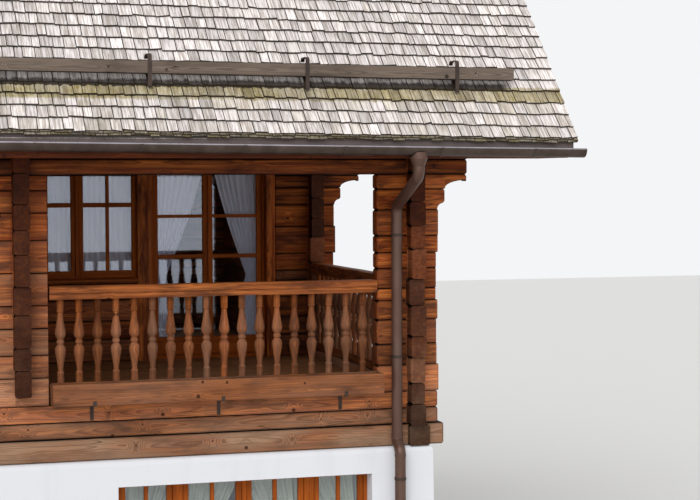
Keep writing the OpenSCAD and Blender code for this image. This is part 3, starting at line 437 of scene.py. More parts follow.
@cache
def timber_group() -> bpy.types.NodeTree:
    """Spruce: year rings, knots, streaks, cracks and grey weathering.

    The rings are contour lines of a height field: the distance from the heart, bent by a slow
    noise and raised round each knot, so that the grain runs straight, opens into flames and flows
    round the knots. On a cut end the same field gives round rings, crossed by radial checks.
    """
    g, take = new_group("timber", Vector="Place", Float="Tone Weather End Ring Knots Cracks Contrast",
                        Color="Light Mid Dark Grey")
    place, dark, end = take["Place"], take["Dark"], take["End"]
    along, through, across = g.parts(place)
    section = g.add("CombineXYZ", {0: through, 1: across})[0]
    heart = g.add("VectorMath", {0: section}, operation="LENGTH")["Value"]
    # Knots: one in each cell of a loose grid on the face, of which the group keeps a share
    cells = g.add("TexVoronoi", {"Vector": g.add("CombineXYZ", {0: along, 1: across})[0], "Scale": 4.2,
                                 "Randomness": 0.95}, voronoi_dimensions="2D")
    lottery = g.parts(cells["Color"])
    chosen = g.times(g.math("LESS_THAN", lottery[0], take["Knots"]), g.math("SUBTRACT", 1.0, end))
    size = g.span(lottery[1], 0.0, 1.0, 0.035, 0.085, smooth=False)
    knot = g.times(g.span(g.math("DIVIDE", cells["Distance"], size), 0.75, 1.1, 1.0, 0.0), chosen)
    swell = g.times(g.span(cells["Distance"], 0.02, 0.42, 1.0, 0.0), chosen)
    # The height field and its contour lines, narrow for the late wood and wide for the bands
    drift = g.noise(place, (0.55, 4.0, 4.0))
    ripple = g.noise(place, (2.6, 16.0, 16.0))
    rings = g.math("ADD", g.plus(drift, 0.11, heart), g.plus(ripple, 0.012, g.times(swell, 0.022)))
    late = g.hump(g.math("FRACT", g.math("DIVIDE", rings, take["Ring"])), 0.25, 0.82, 0.9, 1.0)
    wide = g.math("DIVIDE", rings, g.times(take["Ring"], 4.3))
    bands = g.hump(g.math("FRACT", wide), 0.1, 0.7, 0.8, 1.0)
    streak = g.noise(place, (0.7, 26.0, 34.0), 3.0, 0.6)
    fibre = g.noise(place, (7.0, 260.0, 300.0), 2.0, 0.6)
    blotch = g.noise(place, (1.1, 3.2, 4.4), 3.0, 0.55)
    stain = g.noise(place, (2.4, 11.0, 9.0), 3.0, 0.6)
    # Long checks on the faces, radial checks on the ends
    split = g.times(g.thin_line(g.noise(place, (0.65, 9.0, 11.0), 1.5), 0.01),
                    g.span(g.noise(place, (1.7, 5.0, 7.0), 1.0), 0.5, 0.62))
    fine = g.times(g.thin_line(g.noise(place, (1.4, 30.0, 42.0), 1.0), 0.012), g.span(blotch, 0.48, 0.66))
    ray = g.add("VectorMath", {0: section}, operation="NORMALIZE")[0]
    rays = g.add("VectorMath", {0: ray, 1: g.scaled(place, (1.0, 0, 0))}, operation="ADD")[0]
    radial = g.thin_line(g.noise(rays, (2.3, 2.6, 2.6), 1.0), 0.016)
    checks = g.times(g.times(radial, g.span(heart, 0.008, 0.03)), 0.35)
    face_cracks = g.times(g.math("MAXIMUM", split, g.times(fine, 0.55)), take["Cracks"])
    crack = g.add("Mix", {0: g.math("GREATER_THAN", end, 0.5), 2: face_cracks, 3: checks})[0]
    # Colour: streaks, stains and rings, then grey weathering, cut ends, knots and cracks
    contrast = g.times(take["Contrast"], g.plus(end, -0.6, 1.0))
    colour = g.blend(g.times(g.span(streak, 0.36, 0.7), contrast), take["Mid"], take["Light"])
    colour = g.blend(g.times(g.span(stain, 0.42, 0.75), g.times(contrast, 0.85)), colour, dark)
    colour = g.blend(g.times(late, 0.48), colour, dark)
    colour = g.blend(g.times(bands, g.times(contrast, 0.35)), colour, dark)
    grey = g.times(take["Weather"], g.span(blotch, 0.25, 0.72, 0.55, 1.25))
    grain_lines = g.math("MAXIMUM", g.times(late, 0.65), g.span(stain, 0.46, 0.7, 0.0, 0.6))
    grey_face = g.blend(grain_lines, take["Grey"], g.blend(0.62, take["Grey"], dark))
    colour = g.blend(g.math("MINIMUM", grey, 1.0), colour, grey_face)
    end_colour = g.blend(g.span(streak, 0.3, 0.7, 0.38, 0.62), dark, colour)
    colour = g.blend(g.times(end, 0.8), colour, end_colour)
    # Tone: random per log, lowered or raised where the pieces paint in shade or light
    colour = g.shaded(colour, g.plus(take["Tone"], 0.3, g.span(blotch, 0.2, 0.8, 0.84, 1.14, smooth=False)))
    colour = g.blend(g.times(knot, 0.85), colour, g.blend(0.55, dark, (0.012, 0.006, 0.003, 1)))
    colour = g.blend(g.times(crack, 0.85), colour, (0.01, 0.006, 0.004, 1.0))
    rough = g.plus(take["Weather"], 0.16, g.span(streak, 0.3, 0.7, 0.5, 0.68, smooth=False))
    height = g.plus(late, -0.16, g.times(fibre, 0.3))
    for part, depth in ((crack, -1.0), (knot, 0.25), (stain, 0.55)):
        height = g.plus(part, depth, height)
    return g.give(colour, rough, height)


@dataclass(frozen=True)
class Timber(Finish):
    """Sawn or hewn spruce.

    ring is the spacing of the year rings in metres, knots the share of places that hold a knot,
    cracks the depth of the checks, contrast that of the streaks, relief the bump's height in
    metres. axis is the direction of the grain on a CAD node, whose mesh has no values of its
    own, and None on a piece that carries its grain with it.
    """

    light: Colour
    mid: Colour
    dark: Colour
    grey: Colour
    ring: float = 0.007
    knots: float = 0.35
    cracks: float = 0.8
    contrast: float = 0.8
    relief: float = 0.0018
    axis: Axis | None = None

    def along(self, axis: Axis) -> Timber:
        """The same timber for a CAD node, whose grain runs along an axis."""
        return replace(self, name=f"{self.name} along {axis.name}", axis=axis)

    def inputs(self, g: Graph) -> dict:
        """What the shader gets."""
        if self.axis is None:
            place = g.attribute("grain")
            tone, weather, end = g.parts(g.attribute("look"))
        else:
            parts = g.parts(g.place())
            place = g.add("CombineXYZ", {i: parts[k] for i, k in enumerate(self.axis.order)})[0]
            tone = weather = end = 0.0
        wood = g.add("Group", {
            "Place": place, "Tone": tone, "Weather": weather, "End": end, "Light": self.light,
            "Mid": self.mid, "Dark": self.dark, "Grey": self.grey, "Ring": self.ring,
            "Knots": self.knots, "Cracks": self.cracks, "Contrast": self.contrast},
            node_tree=timber_group())
        return g.coat(*wood, self.relief, 0.12)


WALL_TIMBER = Timber("hewn spruce", srgb(224, 125, 50), srgb(165, 72, 19), srgb(66, 21, 5),
                     srgb(172, 136, 108), contrast=1.1, cracks=0.75, relief=0.0026)
ROOF_TIMBER = Timber("planed roof timber", srgb(128, 62, 24), srgb(96, 40, 13), srgb(60, 22, 8),
                     srgb(130, 108, 92), knots=0.3, cracks=0.3, relief=0.0008)
FLOOR_TIMBER = Timber("scrubbed floor boards", srgb(172, 122, 80), srgb(146, 98, 60), srgb(100, 62, 36),
                      srgb(140, 120, 104), knots=0.35, cracks=0.3, relief=0.0008)
RAIL_TIMBER = Timber("stained rail timber", srgb(196, 112, 50), srgb(154, 80, 30), srgb(66, 27, 9),
                     srgb(136, 110, 92), ring=0.005, knots=0.25, cracks=0.5, contrast=1.0, relief=0.001)
JOINERY_TIMBER = Timber("oiled joinery", srgb(196, 104, 32), srgb(168, 82, 20), srgb(100, 42, 8),
                        srgb(140, 96, 66), ring=0.004, knots=0.06, cracks=0.05, contrast=0.6, relief=0.0004)
GREY_TIMBER = Timber("grey weathered timber", srgb(124, 109, 96), srgb(93, 80, 69), srgb(42, 34, 29),
                     srgb(116, 102, 91), knots=0.25, cracks=1.0, contrast=1.0, relief=0.0024)


# The house

@dataclass(frozen=True)
class House:
    """Driving sizes of the house, as its solids have them, and what follows from them."""

    half_len: float = 5.35
    half_dep: float = 3.93
    loggia_dep: float = 3.45
    loggia_len: float = 3.61
    pier_front: float = 0.358
    pier_side: float = 0.52
    part_stub: float = 0.246
    log_t: float = 0.14
    sill_t: float = 0.195
    masonry_h: float = 2.55
    floor_z: float = 3.05
    lintel_z: float = 5.07
    lintel_top: float = 5.21
    ceil_z: float = 5.3
    top_log_h: float = 0.21
    gable_log_h: float = 0.23
    head_len: float = 0.15
    stub_len: float = 0.165
    sill_more: float = 0.05
    sill_head: float = 0.1
    pitch: float = math.radians(48.5)
    eave_rise: float = 0.216
    eave_out: float = 0.7
    verge_out: float = 1.305
    shingle_t: float = 0.06
    board_t: float = 0.024
    rafter_d: float = 0.16

    @property
    def face_x(self) -> float:
        """Outer face of the gable log walls."""
        return self.half_len + self.log_t / 2

    @property
    def face_y(self) -> float:
        """Outer face of the front and rear log walls."""
        return self.half_dep + self.log_t / 2

    @property
    def back_y(self) -> float:
        """Middle of the loggias' back walls."""
        return self.loggia_dep - self.half_dep

    @property
    def part_x(self) -> float:
        """Middle of the partition walls."""
        return self.half_len - self.loggia_len

    @property
    def stub_end(self) -> float:
        """Ends of the long logs beyond the gable walls."""
        return self.face_x + self.stub_len

    @property
    def eave_y(self) -> float:
        """Distance of the shingles' lower edge from the ridge line."""
        return self.face_y + self.eave_out

    @property
    def eave_z(self) -> float:
        """Height of the shingles' lower edge."""
        return self.lintel_top + self.eave_rise

    @property
    def roof_t(self) -> float:
        """Thickness of boards and shingles together."""
        return self.board_t + self.shingle_t

    @property
    def ridge_z(self) -> float:
        """Height at which the undersides of the roof boards meet."""
        return self.eave_z + self.eave_y * math.tan(self.pitch) - self.roof_t / math.cos(self.pitch)

    @property
    def slope_len(self) -> float:
        """Length of a roof slope from the ridge down to the shingles' edge."""
        return (self.eave_y - self.roof_t * math.sin(self.pitch)) / math.cos(self.pitch)

    @property
    def verge_x(self) -> float:
        """Ends of the roof beyond the gables."""
        return self.half_len + self.verge_out

    def rafter_y(self, z: Array | float) -> Array | float:
        """Distance from the ridge line at which the rafters' underside is at a height z."""
        under = self.ridge_z - self.rafter_d / math.cos(self.pitch)
        return (under - z) / math.tan(self.pitch)

    def on_slope(self, points: Array) -> Array:
        """Places on the front slope as points: x, distance up the slope, height above the boards.

        The slope's own axes are turned by the pitch about X, from the shingles' lower edge.
        """
        x, up, out = points.reshape(-1, 3).T
        run = self.slope_len - up
        c, s = math.cos(self.pitch), math.sin(self.pitch)
        return np.stack([x, -run * c - out * s, self.ridge_z - run * s + out * c], axis=1)


HOUSE = House()

# Joints between the courses of each stack, as shares of the height that it fills
SILL_JOINTS = (0, 0.4, 0.69, 1)
WALL_JOINTS = (0, 0.122, 0.221, 0.337, 0.436, 0.577, 0.719, 0.837, 0.933, 1)
PIER_JOINTS = (0, 0.122, 0.221, 0.332, 0.421, 0.477, 0.569, 0.641, 0.719, 0.837, 0.933, 1)
BACK_JOINTS = (0, 0.122, 0.221, 0.332, 0.421, 0.477, 0.569, 0.719, 0.837, 0.933, 1)
CROSS_JOINTS = (0, 0.071, 0.143, 0.214, 0.3, 0.371, 0.476, 0.565, 0.666, 0.743, 0.824, 0.922, 1)


def heights(shares: Sequence[float], low: float, high: float) -> list[float]:
    """Heights of the joints of a stack that fills the span from low to high."""
    return [low + s * (high - low) for s in shares]


@dataclass(frozen=True)
class Opening:
    """A hole through a log wall: its span along the wall and its span in height."""

    start: float
    end: float
    low: float
    high: float


@dataclass(frozen=True)
class Log:
    """One squared log.

    start and end lie along its length, low and high are its joints, place is the middle of its
    thickness. hollow_start and hollow_end are the width and height of a quarter-round hollow
    under that end. cut is an opening that takes part of its height.
    """

    start: float
    end: float
    low: float
    high: float
    place: float
    thick: float = HOUSE.log_t
    hollow_start: Span = (0.0, 0.0)
    hollow_end: Span = (0.0, 0.0)
    cut: Opening | None = None
    tone: float = 0.0
    weather: float = 0.0


# Points round a log's section: side, how far in, share of the height, step up, in worn edges
LOG_SECTION = np.array([
    (-1, 1, 0, 0), (1, 1, 0, 0), (1, 0.25, 0, 0.36), (1, 0, 0, 1), (1, 0, 0.35, 0), (1, 0, 0.65, 0),
    (1, 0, 1, -1), (1, 0.25, 1, -0.36), (1, 1, 1, 0), (-1, 1, 1, 0), (-1, 0.25, 1, -0.36), (-1, 0, 1, -1),
    (-1, 0, 0.65, 0), (-1, 0, 0.35, 0), (-1, 0, 0, 1), (-1, 0.25, 0, 0.36)]).T


def pierced(course: Log, openings: Sequence[Opening]) -> list[Log]:
    """A course as the logs that openings leave of it.

    An opening over the full height of the course splits it, and one that reaches only part of
    the height becomes a cut.

    Args:
        course: The whole log.
        openings: Holes in its wall.

    Returns:
        Its parts from end to end.
    """
    for hole in openings:
        if hole.end <= course.start or hole.start >= course.end or hole.high <= course.low \
                or hole.low >= course.high:
            continue
        if hole.low > course.low + 0.005 or hole.high < course.high - 0.005:
            rest = [h for h in openings if h is not hole]
            return pierced(replace(course, cut=hole), rest)
        left = replace(course, end=hole.start, hollow_end=(0.0, 0.0))
        right = replace(course, start=hole.end, hollow_start=(0.0, 0.0))
        return [part for piece in (left, right) if piece.end - piece.start > 0.02
                for part in pierced(piece, [h for h in openings if h is not hole])]
    return [course]


@dataclass
class Hewer:
    """Shapes squared logs with slightly uneven faces, worn edges and their own grain."""

    rng: Draws
    edge: float = 0.015
    lap: float = 0.001
    joint_shade: Span = (3.2, 0.9)
    spread: float = 0.55
    end_draw: float = 0.7
    head_reach: float = 0.0
    head_gap: float = 0.0035
    head_shade: float = 2.5
    darkest: float = -2.5
    sway: tuple[float, ...] = (0.0026, 0.0015, 0.0008)
    lengths: tuple[float, ...] = (2.9, 1.1, 0.43)
    spacing: float = 0.3

    def waves(self, along: Array) -> Array:
        """A sum of sine waves along the timber, with phases drawn for this face."""
        phases = self.rng.uniform(0, 2 * math.pi, len(self.sway))
        return sum(a * np.sin(2 * math.pi * along / w + p)
                   for a, w, p in zip(self.sway, self.lengths, phases))

    def stations(self, piece: Log) -> tuple[Array, Array, Array]:
        """Places along a log where it has a section, with its lower and upper edge there.

        Under a hollow the lower edge follows a quarter ellipse, width w and height h:
        along = end - w cos(a), up = low + h sin(a) with a from 0 to a right angle.

        Args:
            piece: The log.

        Returns:
            The places, and the heights of the lower and the upper edge there.
        """
        count = max(3, int((piece.end - piece.start) / self.spacing) + 1)
        places = [np.linspace(piece.start, piece.end, count),
                  [piece.start + self.edge, piece.end - self.edge]]
        turn = np.linspace(0, math.pi / 2, 9)
        for (width, _), end, sign in ((piece.hollow_start, piece.start, 1),
                                      (piece.hollow_end, piece.end, -1)):
            if width > 0:
                places.append(end + sign * width * np.cos(turn))
        if piece.cut:
            places.append([piece.cut.start - 1e-4, piece.cut.start + 1e-4,
                           piece.cut.end - 1e-4, piece.cut.end + 1e-4])
        if self.head_reach:
            neck = piece.start + self.head_reach, piece.end - self.head_reach
            places.append([neck[0], neck[0] + 0.002, neck[1] - 0.002, neck[1]])
        s = np.unique(np.round(np.concatenate(places), 5))
        s = s[(s >= piece.start) & (s <= piece.end)]
        low = np.full(len(s), piece.low - self.lap / 2)
        high = np.full(len(s), piece.high + self.lap / 2)
        if self.head_reach:
            gap = np.where((s <= neck[0]) | (s >= neck[1]), self.head_gap, 0.0)
            low, high = low + gap, high - gap
        for (width, rise), end in ((piece.hollow_start, piece.start),
                                   (piece.hollow_end, piece.end)):
            if width > 0:
                share = np.clip(np.abs(s - end) / width, 0, 1)
                low = np.maximum(low, piece.low + rise * np.sqrt(1 - share ** 2))
        if piece.cut:
            inside = (s > piece.cut.start) & (s < piece.cut.end)
            if piece.cut.low > piece.low:
                high = np.where(inside, np.minimum(high, piece.cut.low), high)
            else:
                low = np.where(inside, np.maximum(low, piece.cut.high), low)
        return s, low, high

    def shape(self, piece: Log, axis: Axis = Axis.X) -> Surface:
        """A log as a surface of two parameters: the station along it and the place round it.

        Round it are 16 points: two on each of the upper and lower faces, four on each side face
        and two on each worn corner between them. At both ends the section draws in by the edge.

        Args:
            piece: The log.
            axis: Its direction, X or Y.

        Returns:
            The closed surface.
        """
        s, low, high = self.stations(piece)
        half = piece.thick / 2
        e = self.edge
        room = np.minimum(1.0, (high - low) / (3 * e))
        drawn = np.where((s <= piece.start) | (s >= piece.end), e * self.end_draw, 0.0)
        side, inset, share, step = LOG_SECTION
        up = low[:, None] + share * (high - low)[:, None] + step * e * room[:, None]
        front, back = (self.waves(s) + self.rng.normal(0, 0.0025) for _ in range(2))
        bend = np.where(side > 0, front[:, None], back[:, None])
        a = side * (half - inset * e) - side * drawn[:, None] + bend
        middle = (piece.low + piece.high) / 2
        up = up + np.sign(middle - up) * np.minimum(drawn[:, None], 0.3 * (high - low)[:, None])
        along = np.broadcast_to(s[:, None], a.shape)
        if axis is Axis.X:
            points = np.stack([along, piece.place + a, up], axis=-1)
        else:
            points = np.stack([piece.place - a, along, up], axis=-1)
        around = len(side)
        loops, sizes = tube_faces(len(s), around)
        offset = self.rng.uniform([3, -0.03, -0.03], [60, 0.03, 0.03])
        grain = np.stack([along, a, up - middle], axis=-1) + offset
        look = np.zeros((len(sizes), 3))
        look[:, 0] = piece.tone + self.rng.normal(0, self.spread)
        look[:, 1] = np.clip(piece.weather + self.rng.normal(0, 0.07), 0, 1)
        look[:around, 2] = look[-around - 2:, 2] = 0.6
        look[-2:, 2] = 1.0
        if self.head_reach:
            # What stands out past the wall is darker, as is its cut end: painted shade, with a share of end
            # grain
            middles = (s[:-1] + s[1:]) / 2
            head = (middles < piece.start + self.head_reach) | (middles > piece.end - self.head_reach)
            share = np.append(np.repeat(head, around), [True, True]).astype(float)
            look[:, 0] = np.maximum(look[:, 0] - share * self.head_shade, self.darkest)
            look[:, 2] = np.maximum(look[:, 2], share * 0.6)
        # Painted shade in the joints: deep on the worn corners' inner half, light on their outer
        ring = np.arange(len(sizes) - 2) % around
        look[:-2, 0] -= np.select([np.isin(ring, (0, 1, 7, 8, 9, 15)), np.isin(ring, (2, 6, 10, 14))],
                                  self.joint_shade, 0.0)
        return Surface(points.reshape(-1, 3), loops, sizes, grain.reshape(-1, 3), look)

    def stack(self, logs: Sequence[Log], axis: Axis = Axis.X) -> Surface:
        """Several logs as one surface."""
        return joined([self.shape(piece, axis) for piece in logs])


def weathering(z: float) -> float:
    """Share of grey on a log face: full near the ground, none under the eave."""
    return float(np.interp(z, [2.6, 3.0, 3.5, 4.1, 4.8], [0.85, 0.68, 0.48, 0.28, 0.06]))


@dataclass
class LogStorey:
    """The log walls, with their corners, stub ends, heads and consoles."""

    house: House = HOUSE
    consoles: tuple[float, ...] = (0.074, 0.29, 0.41)
    hollows: tuple[float, ...] = (0.33, 0.6, 0.7)
    top_reach: tuple[float, ...] = (0.29, 0.5, 0.72)
    window_w: float = 1.304
    window_h: float = 1.185
    uneven: Span = (0.012, 0.009)
    hewer: Hewer = field(default_factory=lambda: Hewer(np.random.default_rng(11)))
    heads: Hewer = field(default_factory=lambda: Hewer(np.random.default_rng(17), edge=0.017,
                                                         spread=0.7, head_reach=0.13))

    @property
    def joints(self) -> list[float]:
        """Heights of the joints in the front and rear walls."""
        return heights(WALL_JOINTS, self.house.floor_z, self.house.lintel_z)

    @property
    def window_low(self) -> float:
        """Foot of the windows in the log walls."""
        return self.joints[8] - self.window_h

    def window(self, middle: float, low: float | None = None, high: float | None = None) -> Opening:
        """A window's hole, by its middle along the wall.

        Args:
            middle: Its middle.
            low: Its foot, where that isn't at the usual height.
            high: Its head.

        Returns:
            The hole.
        """
        foot = self.window_low if low is None else low
        head = foot + self.window_h if high is None else high
        return Opening(middle - self.window_w / 2, middle + self.window_w / 2, foot, head)

    def worn(self, logs: Sequence[Log]) -> list[Log]:
        """The same logs with ends and thicknesses that differ a little."""
        end, thick = self.uneven
        draw = self.heads.rng.uniform
        return [replace(piece, start=piece.start + draw(-end, end), end=piece.end + draw(-end, end),
                        thick=piece.thick + draw(-thick, thick)) for piece in logs]

    def full_wall(self, reach: float, place: float, windows: Sequence[float], tone: float = 0.0) -> Surface:
        """A wall of full courses between two ends, with windows at given places.

        Args:
            reach: Half its length.
            place: Middle of its thickness.
            windows: Middles of its windows.
            tone: Middle tone of its logs.

        Returns:
            Its logs.
        """
        holes = [self.window(x) for x in windows]
        logs = []
        for low, high in zip(self.joints, self.joints[1:]):
            course = Log(-reach, reach, low, high, place, tone=tone, weather=weathering((low + high) / 2))
            logs += pierced(course, holes)
        return self.hewer.stack(logs)

    def stubs_lit_and_greyed(self, surface: Surface) -> Surface:
        """The same logs with lighter, greyer stub ends beyond the gable walls: painted light and weathering.

        Args:
            surface: Logs with their looks.

        Returns:
            The logs, lightened with painted light and greyed by how far a face stands beyond the gable wall.
        """
        starts = np.concatenate([[0], np.cumsum(surface.sizes)[:-1]])
        x = np.abs(np.add.reduceat(surface.points[surface.loops, 0], starts) / surface.sizes)
        z = np.add.reduceat(surface.points[surface.loops, 2], starts) / surface.sizes
        share = np.clip((x - self.house.face_x) / 0.03, 0, 1) * np.interp(z, [4.7, 5.0], [1.0, 0.3])
        look = surface.look.copy()
        # Painted light: the stub ends stand out lighter, less so up under the eave; the grey added next is
        # weathering
        look[:, 0] += 1.5 * share
        look[:, 1] = np.clip(look[:, 1] + 0.18 * share, 0, 1)
        return replace(surface, look=look)

    def corbelled(self, joints: Sequence[float], start: float, place: float, steps: int, side: int,
                  openings: Sequence[Opening] = ()) -> list[Log]:
        """Logs from a start to beyond the gable wall, their top courses stepping out in hollows.

        Args:
            joints: Heights of their joints.
            start: Their inner end, as on the right half.
            place: Middle of their thickness.
            steps: How many courses step out.
            side: 1 at the right corner, -1 at the left one.
            openings: Holes in their wall.

        Returns:
            The logs from the foot up.
        """
        logs = []
        count = len(joints) - 1
        for i in range(count):
            k = i - (count - steps)
            reach = self.consoles[k] if k >= 0 else 0.0
            before = self.consoles[k - 1] if k > 0 else 0.0
            low, high = joints[i], joints[i + 1]
            hollow = (reach - before, self.hollows[k] * (high - low)) if k >= 0 else (0.0, 0.0)
            ragged = self.heads.rng.uniform(-1, 1) * self.uneven[0] if k < 0 else 0.0
            end = self.house.stub_end + reach + ragged
            if side > 0:
                course = Log(start, end, low, high, place, hollow_end=hollow)
            else:
                course = Log(-end, -start, low, high, place, hollow_start=hollow)
            # Painted shade: the logs at the corners and in the loggias take a darker tone
            course = replace(course, weather=0.35 * weathering((low + high) / 2), tone=-0.85)
            logs += pierced(course, openings)
        return logs

    def sill(self) -> Surface:
        """The three lowest long logs at the front and rear."""
        h = self.house
        z = heights(SILL_JOINTS, h.masonry_h, h.floor_z)
        looks = ((h.sill_more, h.sill_t, -0.62, 0.9), (0.0, h.log_t, 0.25, 0.62), (0.0, h.log_t, 0.0, 0.4))
        return self.hewer.stack([
            Log(-h.stub_end - more, h.stub_end + more, low, high, y, thick, tone=tone, weather=weather)
            for y in (-h.half_dep, h.half_dep)
            for low, high, (more, thick, tone, weather) in zip(z, z[1:], looks)])

    def middle_wall(self) -> Surface:
        """The front wall between the loggias."""
        h = self.house
        return self.full_wall(h.part_x + h.part_stub, -h.half_dep, [0.0], tone=0.15)

    def piers(self) -> Surface:
        """The short logs of the front corners."""
        h = self.house
        z = heights(PIER_JOINTS, h.floor_z, h.lintel_z)
        return self.stubs_lit_and_greyed(self.hewer.stack([
            piece for side in (1, -1) for piece in
            self.corbelled(z, h.half_len - h.pier_front, -h.half_dep, 2, side)]))

    def loggia_backs(self) -> Surface:
        """The back walls of the loggias, with their jamb posts."""
        h = self.house
        z = heights(BACK_JOINTS, h.floor_z, h.lintel_z) + [h.ceil_z]
        s = LOGGIA
        logs: list[Log] = []
        posts = []
        for side in (1, -1):
            spans = ((s.window_start - s.jamb, s.post_start, s.window_low, s.head),
                     (s.post_start, s.doors_end + s.jamb, h.floor_z, s.head))
            holes = [Opening(*sorted((side * a, side * b)), low, high) for a, b, low, high in spans]
            logs += self.corbelled(z, h.part_x - h.log_t / 2, h.back_y, 3, side, holes)
            half = h.log_t / 2 + 0.012
            for a, b, low in ((s.post_start, s.post_start + s.post, h.floor_z),
                              (s.doors_end, s.doors_end + s.jamb, h.floor_z),
                              (s.window_start - s.jamb, s.window_start, s.window_low)):
                x0, x1 = sorted((side * a, side * b))
                posts.append(([x0, h.back_y - half, low], [x1, h.back_y + half, s.head]))
        boards = bars(posts, Axis.Z, self.hewer.rng, edge=0.006, tone=0.1, weather=0.04)
        return joined([self.hewer.stack(logs), boards])

    def partitions(self) -> Surface:
        """The walls beside the loggias, whose heads show in front of the front wall."""
        h = self.house
        z = heights(CROSS_JOINTS, h.masonry_h, h.ceil_z)
        logs = []
        for x in (-h.part_x, h.part_x):
            back = h.back_y + h.log_t / 2
            logs.append(Log(-h.face_y, back, h.floor_z, z[3], x, weather=0.3))
            for low, high in zip(z[3:-1], z[4:]):
                middle = (low + high) / 2
                # Tone falls from the foot towards the eave: painted shade under the overhang
                logs.append(Log(-h.face_y - h.head_len, back, low, high, x,
                                tone=float(np.interp(middle, [3.2, 4.2, 5.0], [0.5, 0.0, -0.5])),
                                weather=weathering(middle) * 0.7))
        return self.heads.stack(self.worn(logs), Axis.Y)

    def rear(self) -> Surface:
        """The rear wall with its row of windows."""
        return self.full_wall(self.house.stub_end, self.house.half_dep, REAR_WINDOWS)

    def gable(self, side: int) -> Surface:
        """A gable wall: cross logs up to the ceiling, then the triangle under the rafters.

        The triangle's logs end where the rafters' underside is: |y| = rafter_y(z).

        Args:
            side: 1 for the right gable, -1 for the left one.

        Returns:
            Its logs.
        """
        h = self.house
        z = heights(CROSS_JOINTS, h.masonry_h, h.ceil_z)
        x = side * h.half_len
        end = h.face_y + h.head_len
        low_end = h.face_y + h.sill_head
        logs = [Log(-low_end, low_end, z[0], z[1], x + side * (h.sill_t - h.log_t) / 2, h.sill_t,
                    tone=0.3, weather=0.9)]
        hole = [self.window(GABLE_WINDOW_Y)]
        for i in range(1, len(z) - 1):
            middle = (z[i] + z[i + 1]) / 2
            # Tone falls from the foot towards the eave: painted shade under the overhang
            tone = float(np.interp(middle, [2.6, 4.2, 5.0], [0.4, 0.0, -0.5]))
            course = Log(-end, end, z[i], z[i + 1], x, tone=tone, weather=weathering(middle))
            if 3 <= i <= len(CROSS_JOINTS) - 3:
                logs.append(replace(course, end=h.pier_side - h.half_dep))
                logs += pierced(replace(course, start=h.back_y - h.log_t / 2 - h.head_len), hole)
            else:
                logs.append(course)
        wall = self.heads.stack(self.worn(logs), Axis.Y)
        low, top = h.ceil_z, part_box("purlins")[1][2] - 0.32
        attic = self.window(0.0, ATTIC_WINDOW[0], ATTIC_WINDOW[1])
        logs = []
        while low < top:
            reach = min(h.face_y, float(h.rafter_y(low)) + 0.008)
            course = Log(-reach, reach, low, min(low + h.gable_log_h, top), x, tone=0.1, weather=0.12)
            logs += pierced(course, [attic])
            low += h.gable_log_h
        triangle = self.hewer.stack(logs, Axis.Y)
        points = triangle.points.copy()
        limit = np.maximum(h.rafter_y(points[:, 2]) - 0.002, 0.01)
        points[:, 1] = np.clip(points[:, 1], -limit, limit)
        return joined([wall, triangle.placed(points)])

    def eaves(self) -> Surface:
        """The lintel logs and the two courses over them, with their consoles."""
        h = self.house
        z = [h.lintel_z] + [h.lintel_top + k * h.top_log_h for k in range(3)]
        logs = []
        for y in (-h.half_dep, h.half_dep):
            for i, reach in enumerate(self.top_reach):
                end, step = h.stub_end + reach, (0.0, 0.0)
                if i:
                    step = reach - self.top_reach[i - 1], self.hollows[2] * (z[i + 1] - z[i])
                # Painted shade: the lintel and the courses over it, under the eave, take a much darker tone
                logs.append(Log(-end, end, z[i], z[i + 1], y, hollow_start=step, hollow_end=step, tone=-2.0))
        return self.hewer.stack(logs)

    def build(self) -> None:
        """Builds and dresses all log walls."""
        for name, surface, slot, node in (
                ("sill_log_timbers", self.sill(), "log_face", "sill_logs"),
                ("middle_wall_timbers", self.middle_wall(), "log_face", "middle_wall_front"),
                ("corner_pier_timbers", self.piers(), "log_face", "corner_piers"),
                ("loggia_back_timbers", self.loggia_backs(), "log_face", "loggia_back_walls"),
                ("partition_timbers", self.partitions(), "log_end", "partition_walls"),
                ("rear_wall_timbers", self.rear(), "log_face", "log_wall_rear"),
                ("gable_timbers_left", self.gable(-1), "log_end", "gable_wall_left"),
                ("gable_timbers_right", self.gable(1), "log_end", "gable_wall_right"),
                ("eave_log_timbers", self.eaves(), "log_face", "eave_logs")):
            make_piece(name, surface, WALL_TIMBER, node)


# Corners of a bar's section: side across and how far in, side up and how far in, both in chamfers
BAR_SECTION = np.array([(-1, 1, -1, 0), (1, 1, -1, 0), (1, 0, -1, 1), (1, 0, 1, 1),
                        (1, 1, 1, 0), (-1, 1, 1, 0), (-1, 0, 1, 1), (-1, 0, -1, 1)]).T


